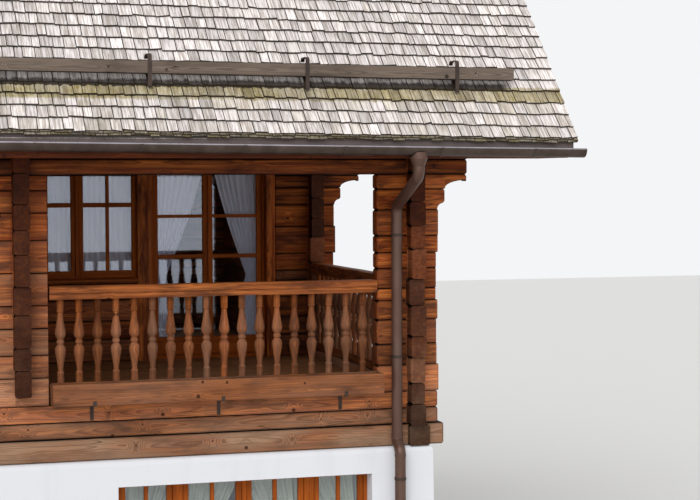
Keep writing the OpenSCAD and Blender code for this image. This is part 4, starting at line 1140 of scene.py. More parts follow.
def bars(boxes: Boxes, axis: Axis, rng: Draws, edge: float = 0.003, tone: float = 0.0,
         weather: float = 0.0, spread: float = 0.25) -> Surface:
    """Boards and battens with chamfered long edges.

    Args:
        boxes: Lowest and highest corner of each.
        axis: Direction of their length.
        rng: Draws each one's tone and the part of the tree that it is from.
        edge: Width of the chamfers.
        tone: Middle tone.
        weather: Share of grey.
        spread: How far the tones differ.

    Returns:
        Octagons carried from end to end, whose grain lies flat in the wider face.
    """
    corners = np.asarray(boxes, dtype=float)
    s, a, u = axis.order
    middle = corners.mean(axis=1)
    half = (corners[:, 1] - corners[:, 0]) / 2
    e = np.minimum(edge, 0.4 * np.minimum(half[:, a], half[:, u]))[:, None]
    side_a, in_a, side_u, in_u = BAR_SECTION
    count = len(corners)
    points = np.zeros((count, 2, 8, 3))
    points[..., a] = (side_a * (half[:, a, None] - in_a * e))[:, None, :]
    points[..., u] = (side_u * (half[:, u, None] - in_u * e))[:, None, :]
    points[:, 0, :, s] = -half[:, s, None]
    points[:, 1, :, s] = half[:, s, None]
    wide = (half[:, a] > half[:, u])[:, None, None]
    grain = np.stack([points[..., s], np.where(wide, points[..., u], points[..., a]),
                      np.where(wide, points[..., a], points[..., u])], axis=-1)
    shift = rng.uniform([5, 0.015, -0.05], [80, 0.07, 0.05], (count, 3))
    grain = grain + shift[:, None, None, :]
    points = points + middle[:, None, None, :]
    loops, sizes = tube_faces(2, 8)
    look = np.zeros((count, len(sizes), 3))
    look[..., 0] = (tone + rng.normal(0, spread, count))[:, None]
    look[..., 1] = np.clip(weather + rng.normal(0, 0.05, count), 0, 1)[:, None]
    look[:, -2:, 2] = 1.0
    return copies(points.reshape(count, 16, 3), loops, sizes, grain.reshape(count, 16, 3), look)


def strips(low: Sequence[float], high: Sequence[float], width: float) -> Boxes:
    """Boxes of boards along X that fill a box side by side, with a fine joint between them.

    Args:
        low: Lowest corner of the box.
        high: Its highest corner.
        width: Least width of a board with its joints.

    Returns:
        Their boxes.
    """
    count = int((high[1] - low[1]) / width)
    step = (high[1] - low[1]) / count
    return [([low[0], low[1] + i * step + 0.001, low[2]], [high[0], low[1] + (i + 1) * step - 0.001, high[2]])
            for i in range(count)]


@dataclass(frozen=True)
class LoggiaSizes:
    """Places of the joinery in the loggias' back walls."""

    window_w: float = 1.29
    window_h: float = 1.278
    doors_w: float = 1.283
    post: float = 0.163
    jamb: float = 0.103
    doors_end: float = 4.791
    head: float = 5.2

    @property
    def post_start(self) -> float:
        """Where the post between window and doors begins."""
        return self.doors_end - self.doors_w - self.post

    @property
    def window_start(self) -> float:
        """Where the window begins."""
        return self.post_start - self.window_w

    @property
    def window_low(self) -> float:
        """Foot of the window."""
        return self.head - self.window_h


LOGGIA = LoggiaSizes()
REAR_WINDOWS = tuple(k * 2.6 for k in (-1.5, -0.5, 0.5, 1.5))
GABLE_WINDOW_Y = 1.725
ATTIC_WINDOW = (6.3, 7.3)


# Roof

@dataclass(frozen=True)
class Settle:
    """How an old eave has settled: it stands proud in the middle and falls towards the verges.

    rise is the height above the level line at the middle, fall the drop for each metre from it.
    Nearer the middle than flat_to it runs level.
    """

    rise: float
    fall: float
    flat_to: float = 1.6

    def at(self, x: Array) -> Array:
        """Height to add at a distance x from the middle."""
        return self.rise - self.fall * np.maximum(np.abs(x), self.flat_to)


EAVE_SETTLE = Settle(0.046, 0.0108)
GUTTER_SETTLE = Settle(0.055, 0.0092)
SNOW_SETTLE = Settle(0.035, 0.005)


@cache
def shingle_group() -> bpy.types.NodeTree:
    """Split larch: silver-grey fibres, butts and edges dark with painted shade, moss and a damp band under
    the snow guard.
    """
    g, take = new_group("split larch", Vector="Place", Float="Tone Wet Moss Band",
                        Color="Pale Mid Dark Green")
    place = take["Place"]
    fibre = g.noise(place, (4.0, 60.0, 150.0), 3.0, 0.65)
    groove = g.noise(place, (1.5, 20.0, 62.0), 2.0, 0.6)
    blotch = g.noise(place, (7.0, 7.0, 9.0))
    spots = g.noise(place, (26.0, 26.0, 30.0), 2.0, 0.6)
    colour = g.blend(g.span(groove, 0.36, 0.62), take["Mid"], take["Pale"])
    colour = g.blend(g.span(fibre, 0.54, 0.74, 0.0, 0.52), colour, take["Dark"])
    colour = g.blend(g.span(blotch, 0.55, 0.8, 0.0, 0.35), colour, take["Mid"])
    colour = g.shaded(colour, g.plus(take["Tone"], 0.23, 1.0))
    moss = g.times(take["Moss"], g.span(spots, 0.3, 0.7, 0.8, 1.0))
    colour = g.blend(moss, colour, g.blend(0.9, colour, take["Green"], "MULTIPLY"))
    # The damp value also carries the painted shade of butts and side edges, which darkens towards Dark like
    # damp
    damp = g.math("MAXIMUM", take["Wet"], take["Band"])
    colour = g.blend(g.times(damp, 0.92), colour, take["Dark"])
    return g.give(colour, g.plus(damp, -0.12, 0.84), g.plus(fibre, 0.5, groove))


@dataclass(frozen=True)
class ShingleFinish(Finish):
    """Weathered larch shingles.

    band holds the heights in metres between which they stay damp, moss_band those at which moss
    starts and is full, band_end is how far both reach from the middle of the house.
    """

    name: str = "weathered larch shingles"
    pale: Colour = srgb(240, 233, 231)
    mid: Colour = srgb(186, 175, 169)
    dark: Colour = srgb(44, 36, 31)
    green: Colour = srgb(166, 154, 84)
    band: Span = (5.838, 5.895)
    moss_band: Span = (5.704, 5.736)
    band_end: float = 6.2
    relief: float = 0.0016

    def inputs(self, g: Graph) -> dict:
        """What the shader gets."""
        grain = g.attribute("grain")
        # The look's second value is damp together with painted shade on the butts and side edges
        tone, damp_and_shade, moss = g.parts(g.attribute("look"))
        x, _, z = g.parts(g.place())
        level = g.math("ADD", z, g.plus(g.noise(grain, (9.0, 9.0, 22.0)), 0.05, -0.025))
        low, high = self.band
        band = g.times(g.hump(level, low - 0.006, low, high - 0.012, high + 0.02),
                       g.span(g.math("ABSOLUTE", x), self.band_end - 0.1, self.band_end, 1.0, 0.0))
        # Moss grows where the timber drips: just under the damp band, in patches along it
        patches = g.span(g.noise(g.place(), (2.6, 2.6, 2.6)), 0.35, 0.6, 0.8, 1.0)
        green = g.times(g.hump(level, *self.moss_band, low + 0.01, low + 0.04), patches)
        larch = g.add("Group", {
            "Place": grain, "Tone": tone, "Wet": damp_and_shade, "Moss": g.math("MAXIMUM", moss, green), "Band": band,
            "Pale": self.pale, "Mid": self.mid, "Dark": self.dark, "Green": self.green},
            node_tree=shingle_group())
        return g.coat(*larch, self.relief, 0.1)


@dataclass
class Roof:
    """Roof boards, shingles and the boards that trim the roof."""

    house: House = HOUSE
    exposure: float = 0.1435
    butt_step: float = 0.021
    shingle_len: float = 0.3
    widths: Span = (0.06, 0.165)
    gap: Span = (0.0015, 0.0055)
    thickness: Span = (0.021, 0.027)
    first_thickness: Span = (0.015, 0.018)
    scatter: float = 0.005
    lift: Span = (-0.0015, 0.0025)
    lean: float = 0.003
    worn: float = 0.0022
    usual_moss: Span = (0.0, 0.12)
    eave_moss: tuple[Span, ...] = ((0.0, 0.35), (0.0, 0.3), (0.0, 0.45), (0.0, 0.4))
    board_w: float = 0.18
    soffit_w: float = 0.09
    ridge_w: float = 0.19
    trim_t: float = 0.028
    barge_d: float = 0.19
    run_out: tuple[float, ...] = (0.044, 0.012, 0.0)
    rng: Draws = seeded(23)

    def sunk(self, local: Array) -> Array:
        """Slope points with the settling of the eave, which fades up the slope.

        Args:
            local: Points as x, distance up the slope and height above the boards.

        Returns:
            Their places: the eave's settling times 1 - 0.6 s(u), s a smooth step in the first metre.
        """
        points = self.house.on_slope(local)
        up = np.clip((local.reshape(-1, 3)[:, 1] - 0.15) / 0.85, 0, 1)
        fade = 1 - 0.6 * up * up * (3 - 2 * up)
        top = np.clip(local.reshape(-1, 3)[:, 1] / self.house.slope_len, 0, 1)
        points[:, 2] += EAVE_SETTLE.at(points[:, 0]) * fade * (1 - top)
        return points

    def row(self, low: float, top: float, drop: float, moss: Span, damp_and_shade: float, thick: Span,
            edges_shade: float = 1.0) -> Surface:
        """One course of shingles from verge to verge.

        Args:
            low: Distance of the butts up the slope.
            top: Height of the butts' upper edge above the boards' underside.
            drop: How far the upper face falls towards the upper end.
            moss: Least and greatest share of moss.
            damp_and_shade: Share of damp; the painted shade of the butts goes into the same value.
            thick: Least and greatest thickness at the butt.
            edges_shade: Share of painted shade on the butts and side edges.

        Returns:
            Thin wedges, each with eight corners: from its butt, t thick, up to its end, where
            its upper face lies lower by the drop.
        """
        rng = self.rng
        span = 2 * (self.house.verge_x + float(np.interp(low, [0.0, 2.2, 4.5], self.run_out)))
        widths = rng.triangular(self.widths[0], 0.095, self.widths[1], int(span / 0.075))
        edges = np.concatenate([[0.0], np.cumsum(widths)]) - rng.uniform(0.0, 0.06)
        edges = np.clip(edges[(edges < span - 0.04)], 0.0, None)
        edges = np.append(edges, span) - span / 2
        x0, x1 = edges[:-1], edges[1:] - rng.uniform(*self.gap, len(edges) - 1)
        count = len(x0)
        butt = low + rng.normal(0, self.scatter, count)
        lift = rng.uniform(*self.lift, count)
        t = rng.uniform(*thick, count)
        lean = rng.normal(0, self.lean, count)
        worn = self.worn
        end = np.minimum(butt + self.shingle_len, self.house.slope_len - 0.01)
        points = np.zeros((count, 8, 3))
        for k, (x, s, n) in enumerate((
                (x0, butt + lean, top + lift - t), (x1, butt - lean, top + lift - t),
                (x1 - worn, butt - lean, top + lift), (x0 + worn, butt + lean, top + lift),
                (x0, end, top + lift - drop - 0.004), (x1, end, top + lift - drop - 0.004),
                (x1 - worn, end, top + lift - drop), (x0 + worn, end, top + lift - drop))):
            points[:, k] = np.stack([x, s, n], axis=1)
        loops = np.array([0, 1, 2, 3, 5, 4, 7, 6, 3, 2, 6, 7, 4, 5, 1, 0, 1, 5, 6, 2, 4, 0, 3, 7])
        sizes = np.full(6, 4)
        shift = rng.uniform(2, 60, (count, 1, 3))
        grain = points[..., [1, 2, 0]] + shift
        look = np.zeros((count, 6, 3))
        look[..., 0] = rng.normal(0, 0.5, count)[:, None]
        look[..., 1] = damp_and_shade
        look[..., 2] = rng.uniform(*moss, count)[:, None]
        # Painted shade on the butts and side edges, held in the damp value
        look[:, [0, 4, 5], 1] = np.maximum(look[:, [0, 4, 5], 1], edges_shade)
        world = self.sunk(points).reshape(count, 8, 3)
        return copies(world, loops, sizes, grain, look)

    def slope(self) -> Surface:
        """The shingles of the front slope, course by course up to the ridge boards."""
        h = self.house
        top = h.roof_t
        # Starter courses under the first one, their butts cut nearly plumb
        rows = [self.row(s, top - n, 0.022, (0.6, 1.0), 0.55, (0.014, 0.016), 0.8)
                for s, n in ((-0.026, 0.031), (-0.013, 0.0155))]
        drop = self.butt_step * self.shingle_len / self.exposure
        count = int((h.slope_len - 0.1) / self.exposure) + 1
        for i in range(count):
            moss = self.eave_moss[i] if i < len(self.eave_moss) else self.usual_moss
            rows.append(self.row(i * self.exposure, top, drop, moss, 0.0,
                                 self.thickness if i else self.first_thickness))
        under = [([-h.verge_x + 0.02, 0.012, h.board_t + 0.0005],
                  [h.verge_x - 0.02, h.slope_len - 0.02, h.board_t + 0.01])]
        pad = bars(under, Axis.Y, self.rng, tone=-0.8)
        pad = pad.placed(self.sunk(pad.points))
        return joined(rows + [pad])

    def slope_boards(self) -> Surface:
        """Roof boards along the eave, on the rafters."""
        h = self.house
        reach = h.verge_x - 0.015
        boxes = strips([-reach, 0.03, FIT], [reach, h.slope_len, h.board_t], self.board_w)
        flat = bars(boxes, Axis.X, self.rng)
        return flat.placed(self.sunk(flat.points))

    def ridge(self) -> Surface:
        """Two weathered boards that cap the ridge."""
        h = self.house
        reach = h.verge_x + 0.01
        box = [([-reach, h.slope_len - self.ridge_w, h.roof_t + FIT],
                [reach, h.slope_len + (h.roof_t + self.trim_t) * math.tan(h.pitch) - FIT,
                 h.roof_t + self.trim_t])]
        board = bars(box, Axis.X, self.rng, edge=0.004, weather=0.7)
        points = h.on_slope(board.points)
        points[:, 1] = np.minimum(points[:, 1], -0.0002)
        return board.placed(points)

    def verge_boards(self) -> Surface:
        """Barge boards down the verges, plumb-cut at the ridge and level at their feet.

        A board's side view is carried along X: it lies under the roof boards, barge_d deep.
        """
        h = self.house
        s, c, t = math.sin(h.pitch), math.cos(h.pitch), math.tan(h.pitch)
        low = self.barge_d / c
        foot_z = h.lintel_top + 0.006
        tail = -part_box("fascia_boards")[0][1] - self.trim_t
        y_cut = (h.ridge_z - low - foot_z) / t
        outline = np.array([[-FIT, h.ridge_z], [-FIT, h.ridge_z - low], [-y_cut, foot_z], [-tail, foot_z],
                            [-tail, h.ridge_z - tail * t]])
        x0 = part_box("barge_boards")[1][0] - self.trim_t
        parts = []
        for side in (1, -1):
            xs = sorted((side * x0, side * (x0 + self.trim_t)))
            board = carried(outline, xs, Axis.X, look=(0.0, 0.25, 0.0))
            x, y, z = board.points.T
            grain = np.stack([z / s + 9.0 + side, x - xs[0] + 0.03, y * s - (z - h.ridge_z) * c], axis=1)
            parts.append(replace(board, grain=grain, look=board.look * [1, 1, 0]))
        return joined(parts)

    def fascia(self) -> Surface:
        """The fascia at the rafters' tails."""
        low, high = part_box("fascia_boards")
        box = [([low[0], low[1], low[2]], [high[0], low[1] + self.trim_t - FIT, high[2]])]
        return bars(box, Axis.X, self.rng)

    def soffit(self) -> Surface:
        """Soffit boards along the eave, butted with a fine joint."""
        low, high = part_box("soffits")
        boxes = strips(low, [high[0], -self.house.face_y - FIT, high[2]], self.soffit_w)
        return bars(boxes, Axis.X, self.rng)

    def build(self) -> None:
        """Builds and dresses the roof."""
        shingles = ShingleFinish()
        for name, surface, node in (("front_shingles", self.slope(), "shingles_front"),
                                    ("rear_shingles", turned(self.slope(), Side.REAR), "shingles_rear")):
            make_piece(name, surface, shingles, node, sharp=20)
        for name, surface, finish, slot, node in (
                ("roof_planks", self.slope_boards(), ROOF_TIMBER, "roof_timber", "roof_boards"),
                ("ridge_cap_boards", self.ridge(), GREY_TIMBER, "weathered_wood", "ridge_boards"),
                ("verge_barge_boards", self.verge_boards(), ROOF_TIMBER, "joinery", "barge_boards"),
                ("eave_fascia_boards", self.fascia(), ROOF_TIMBER, "joinery", "fascia_boards"),
                ("soffit_planks", self.soffit(), ROOF_TIMBER, "roof_timber", "soffits")):
            make_piece(name, front_and_rear(surface), finish, node)
        dress_node("rafters", ROOF_TIMBER.along(Axis.Z))
        dress_node("purlins", ROOF_TIMBER.along(Axis.X))


# Floors, metal, guards and balustrades

def arc(radius: float, start: float, end: float, steps: int, centre: Span = (0.0, 0.0)) -> Array:
    """Points of an arc between two angles in degrees, in its own plane."""
    turn = np.radians(np.linspace(start, end, steps + 1))
    return np.stack([centre[0] + radius * np.cos(turn), centre[1] + radius * np.sin(turn)], axis=1)


def strap(path: Array, thick: float) -> Array:
    """Outline of a strap of even thickness that is bent along a path.

    Args:
        path: (n, 2) middle line.
        thick: Its thickness.

    Returns:
        The outline: each point moved by half the thickness along the mitre of its normals.
    """
    steps = np.diff(path, axis=0)
    steps /= np.linalg.norm(steps, axis=1)[:, None]
    normals = np.stack([-steps[:, 1], steps[:, 0]], axis=1)
    at = np.concatenate([normals[:1], normals[:-1] + normals[1:], normals[-1:]])
    at /= np.linalg.norm(at, axis=1)[:, None]
    at[1:-1] /= np.maximum((at[1:-1] * normals[1:]).sum(axis=1), 0.5)[:, None]
    return np.concatenate([path - at * thick / 2, (path + at * thick / 2)[::-1]])


def carried(section: Array, along: Sequence[float], axis: Axis, drift: Array | None = None,
            look: Sequence[float] = (0.0, 0.0, 0.0), shift: float = 0.0) -> Surface:
    """A section carried along an axis.

    Args:
        section: (k, 2) outline in the two axes that follow, anticlockwise.
        along: Places at which it is set.
        axis: Direction of the length.
        drift: (n, 2) shifts of the section at these places.
        look: Values of the faces.
        shift: Where in the tree the piece is from, in metres.

    Returns:
        The closed surface.
    """
    s, a, u = axis.order
    along = np.asarray(along, dtype=float)
    moved = section[None, :, :] + (np.zeros((len(along), 1, 2)) if drift is None else drift[:, None, :])
    points = np.zeros((len(along), len(section), 3))
    points[..., s] = along[:, None]
    points[..., a] = moved[..., 0]
    points[..., u] = moved[..., 1]
    loops, sizes = tube_faces(len(along), len(section))
    local = section - (section.max(axis=0) + section.min(axis=0)) / 2
    grain = np.zeros_like(points)
    grain[..., 0] = along[:, None] + 3.0 + shift
    grain[..., 1:] = local[None, :, :] + [0.03 + 0.01 * math.sin(7 * shift), 0.02 * math.cos(5 * shift)]
    values = np.tile(np.asarray(look, dtype=float), (len(sizes), 1))
    values[-2:, 2] = 1.0
    return Surface(points.reshape(-1, 3), loops, sizes, grain.reshape(-1, 3), values)


@dataclass
class Floors:
    """Boards of the floors. The upper floor's are the loggias' decks, the attic's their ceilings."""

    board_w: float = 0.145
    lengths: Span = (2.6, 4.4)
    joint: float = 0.0015
    rng: Draws = seeded(31)

    def planks(self, node: str, tone: float) -> Surface:
        """Boards that fill a floor's box, each row cut into several lengths.

        Args:
            node: The floor's CAD node.
            tone: Middle tone.

        Returns:
            The boards.
        """
        low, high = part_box(node)
        rows = max(1, round((high[1] - low[1]) / self.board_w))
        width = (high[1] - low[1]) / rows
        boxes = []
        for i in range(rows):
            x = low[0]
            while x < high[0] - 0.01:
                end = x + self.rng.uniform(*self.lengths)
                end = high[0] if high[0] - end < 1.2 else end
                y = low[1] + i * width
                boxes.append(([x + self.joint / 2, y + self.joint / 2, low[2]],
                              [end - self.joint / 2, y + width - self.joint / 2, high[2]]))
                x = end
        return bars(boxes, Axis.X, self.rng, edge=0.002, tone=tone)

    def build(self) -> None:
        """Builds and dresses the floors."""
        for name, node, tone, finish in (("upper_floor_planks", "upper_floor", 0.0, FLOOR_TIMBER),
                                         ("attic_floor_planks", "attic_floor", 0.1, ROOF_TIMBER)):
            make_piece(name, self.planks(node, tone), finish, node)
        dress_node("floor_joists", ROOF_TIMBER.along(Axis.Y))


@dataclass(frozen=True)
class Metal(Finish):
    """Painted or bare sheet metal and iron, with dust in large soft patches."""

    colour: Colour
    dust: Colour
    metallic: float
    roughness: float
    patch: float = 5.0

    def inputs(self, g: Graph) -> dict:
        """What the shader gets."""
        dusty = g.noise(g.place(), (self.patch, self.patch, self.patch * 0.6), 4.0, 0.6)
        share = g.span(dusty, 0.35, 0.75, 0.0, 0.8)
        return {"Base Color": g.blend(share, self.colour, self.dust),
                "Roughness": g.plus(share, 0.2, self.roughness), "Metallic": self.metallic}


GUTTER_METAL = Metal("brown sheet metal", srgb(64, 50, 42), srgb(90, 76, 68), 0.5, 0.36)
# The rim's light, bluish colour is worn metal and a painted highlight of the sky
RIM_WEAR_AND_HIGHLIGHT = Metal("rubbed gutter rim", srgb(150, 144, 150), srgb(178, 174, 182), 0.85, 0.24)
FLASHING_METAL = Metal("dull brown flashing", srgb(100, 88, 86), srgb(118, 104, 101), 0.3, 0.5)
PIPE_METAL = Metal("brown pipe metal", srgb(86, 60, 48), srgb(102, 78, 66), 0.4, 0.4)
IRON = Metal("dark wrought iron", srgb(52, 42, 38), srgb(84, 66, 56), 0.5, 0.55, 14.0)


@dataclass
class Gutters:
    """Half-round gutters with a rolled front rim, their brackets and the flashing behind them."""

    house: House = HOUSE
    centre_y: float = 4.728
    rim_z: float = 5.298
    radius: float = 0.075
    sheet: float = 0.003
    bead: float = 0.007
    reach: float = 6.735
    bracket_w: float = 0.028
    bracket_t: float = 0.004
    bracket_pitch: float = 0.8917
    seams: tuple[float, ...] = (2.15, 3.21, 3.54, 4.29, 4.96, 6.4)
    seam_w: float = 0.036

    def stations(self) -> Array:
        """Places along the gutter: close together where it is level, so that the fall starts there."""
        half = np.concatenate([np.linspace(0, GUTTER_SETTLE.flat_to, 4), np.linspace(2.2, self.reach, 10)])
        return np.concatenate([-half[:0:-1], half])

    def place(self, section: Array, along: Array) -> Surface:
        """A section about the gutter's centre, carried along it with its fall."""
        drift = np.stack([np.zeros(len(along)), GUTTER_SETTLE.at(along)], axis=1)
        return carried(section + [-self.centre_y, self.rim_z], along, Axis.X, drift)

    def shell(self) -> Surface:
        """The gutters with the rolled rim, laps at the seams and closed ends."""
        r, t = self.radius, self.sheet
        section = np.concatenate([arc(r, 183, 360, 24), arc(r - t, 360, 183, 24)])
        parts = [self.place(section, self.stations())]
        lap = np.concatenate([arc(r + 0.0014, 184, 356, 20), arc(r - 0.0006, 356, 184, 20)])
        half = np.array([-self.seam_w / 2, self.seam_w / 2])
        parts += [self.place(lap, middle + half) for x in self.seams for middle in (x, -x)]
        end = arc(r - 0.0005, 180, 360, 20)
        for x in (-self.reach, self.reach):
            parts.append(self.place(end, np.array([x, x + math.copysign(t, x)])[::1 if x > 0 else -1]))
        return front_and_rear(joined(parts))

    def rims(self) -> Surface:
        """The rolled front rims, rubbed bright, with a painted highlight in their colour."""
        bead = arc(self.bead, 0, 342, 20, (-self.radius + 0.0045, 0.0015))
        return front_and_rear(self.place(bead, self.stations()))

    def brackets(self) -> Surface:
        """Flat irons under the gutters, in line with the rafters."""
        r = self.radius + FIT
        section = np.concatenate([arc(r + self.bracket_t, 180, 360, 20), arc(r, 360, 180, 20)])
        half = np.array([-self.bracket_w / 2, self.bracket_w / 2])
        return front_and_rear(joined([self.place(section, k * self.bracket_pitch + half)
                                      for k in range(-7, 8)]))

    def flashing(self) -> Surface:
        """Sheet metal from under the shingles down over the gutter's rear rim."""
        h = self.house
        a = -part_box("fascia_boards")[0][1] + FIT
        b = self.centre_y - self.radius + self.sheet + 0.004
        t = 0.002
        top = h.eave_z + (h.eave_y - a - t) * math.tan(h.pitch) - h.shingle_t / math.cos(h.pitch) - 0.0006
        z = self.rim_z
        outline = np.array([[-a, top], [-a - t, top], [-a - t, z + 0.015], [-b - t, z + 0.006],
                            [-b - t, z - 0.012], [-b, z - 0.012], [-b, z + 0.005], [-a, z + 0.014]])
        reach = h.verge_x + 0.015
        along = np.array([-reach, -GUTTER_SETTLE.flat_to, GUTTER_SETTLE.flat_to, reach])
        drift = np.stack([np.zeros(4), EAVE_SETTLE.at(along)], axis=1)
        return front_and_rear(carried(outline, along, Axis.X, drift))

    def build(self) -> None:
        """Builds and dresses the metalwork of the eaves."""
        make_piece("half_round_gutters", self.shell(), GUTTER_METAL, "gutters")
        make_piece("gutter_rims", self.rims(), RIM_WEAR_AND_HIGHLIGHT, "gutters")
        make_piece("gutter_irons", self.brackets(), GUTTER_METAL, "gutter_brackets")
        make_piece("flashing_strips", self.flashing(), FLASHING_METAL, "eave_flashing")
        dress_node("downpipes", PIPE_METAL)
        dress_node("pipe_clips", IRON)


@dataclass
class SnowGuards:
    """Weathered timbers across the roof, held by iron hooks that curl over them."""

    house: House = HOUSE
    reach: float = 6.2
    front_y: float = 4.365
    depth: float = 0.095
    height: float = 0.112
    hook_pitch: float = 1.411
    hook_w: float = 0.036
    hook_t: float = 0.008
    curl: float = 0.062
    curl_depth: float = 0.17

    def surface_z(self, y: float) -> float:
        """Height of the shingles' upper plane at a distance from the ridge line."""
        return self.house.eave_z + (self.house.eave_y - y) * math.tan(self.house.pitch)

    @property
    def low_z(self) -> float:
        """Foot of the timbers."""
        return self.surface_z(self.front_y - self.depth) + self.hook_t / math.cos(self.house.pitch) + 0.0006

    def timbers(self) -> Surface:
        """A timber on each slope."""
        hewer = Hewer(np.random.default_rng(41), edge=0.007, sway=(0.0012, 0.0009, 0.0006))
        middle = -self.front_y + self.depth / 2
        beam = Log(-self.reach, self.reach, self.low_z, self.low_z + self.height, middle, self.depth,
                   tone=-0.2, weather=0.75)
        shape = hewer.shape(beam)
        x, y, z = shape.points.T
        return front_and_rear(shape.placed(np.stack([x, y, z + SNOW_SETTLE.at(x)], axis=1)))

    def hooks(self) -> Surface:
        """Iron straps: up the roof under the timber, up its face, and over it in a curl."""
        t, top = self.hook_t, self.low_z + self.height
        y0 = self.front_y + FIT + t / 2
        back = self.front_y - self.depth - 0.06
        lift = t / 2 / math.cos(self.house.pitch) + FIT
        r = self.curl * 0.62
        far = -self.front_y + self.curl_depth - t / 2
        high = top + self.curl - r - t / 2
        base = np.array([[-back, self.surface_z(back) + lift],
                         [-y0 + 0.006, self.surface_z(y0 - 0.006) + lift],
                         [-y0, self.surface_z(y0) + lift + 0.008], [-y0, high]])
        over = arc(r, 180, 90, 6, (-y0 + r, high))[1:]
        down = arc(r, 90, 8, 6, (far - 0.9 * r, high))
        outline = strap(np.concatenate([base, over, down]), t)
        parts = []
        for k in range(-4, 5):
            x = k * self.hook_pitch
            drop = np.full((2, 2), [0.0, float(SNOW_SETTLE.at(np.array(x)))])
            parts.append(carried(outline, [x - self.hook_w / 2, x + self.hook_w / 2], Axis.X, drop))
            parts.append(carried(self.web(), [x - t / 2, x + t / 2], Axis.X, drop))
        return front_and_rear(joined(parts))

    def web(self) -> Array:
        """Outline of the plate that stiffens a hook under its timber."""
        a = self.front_y - self.depth + 0.008
        b = self.front_y + 0.002
        sunk = self.hook_t / math.cos(self.house.pitch) - 0.002
        return np.array([[-b, self.surface_z(b) + sunk], [-a, self.surface_z(a) + sunk],
                         [-b, self.low_z - FIT]])

    def build(self) -> None:
        """Builds and dresses the snow guards."""
        make_piece("snow_guard_timbers", self.timbers(), GREY_TIMBER, "snow_guards")
        make_piece("snow_guard_hooks", self.hooks(), IRON, "snow_hooks")


# Half of a baluster's outline, from its middle ring up: share of the radius, share of the height
TURNING = ((0.7, 0), (0.7, 0.03), (0.66, 0.036), (0.54, 0.04), (0.54, 0.063), (0.68, 0.085), (0.88, 0.125),
           (0.98, 0.17), (1, 0.205), (0.97, 0.245), (0.88, 0.31), (0.75, 0.4), (0.62, 0.5), (0.53, 0.59),
           (0.48, 0.66), (0.48, 0.68), (0.56, 0.685), (0.65, 0.7), (0.65, 0.735), (0.56, 0.74), (0.56, 0.75),
           (0.65, 0.755), (0.65, 0.785), (0.56, 0.79), (0.56, 0.805), (0.65, 0.81), (0.65, 1))


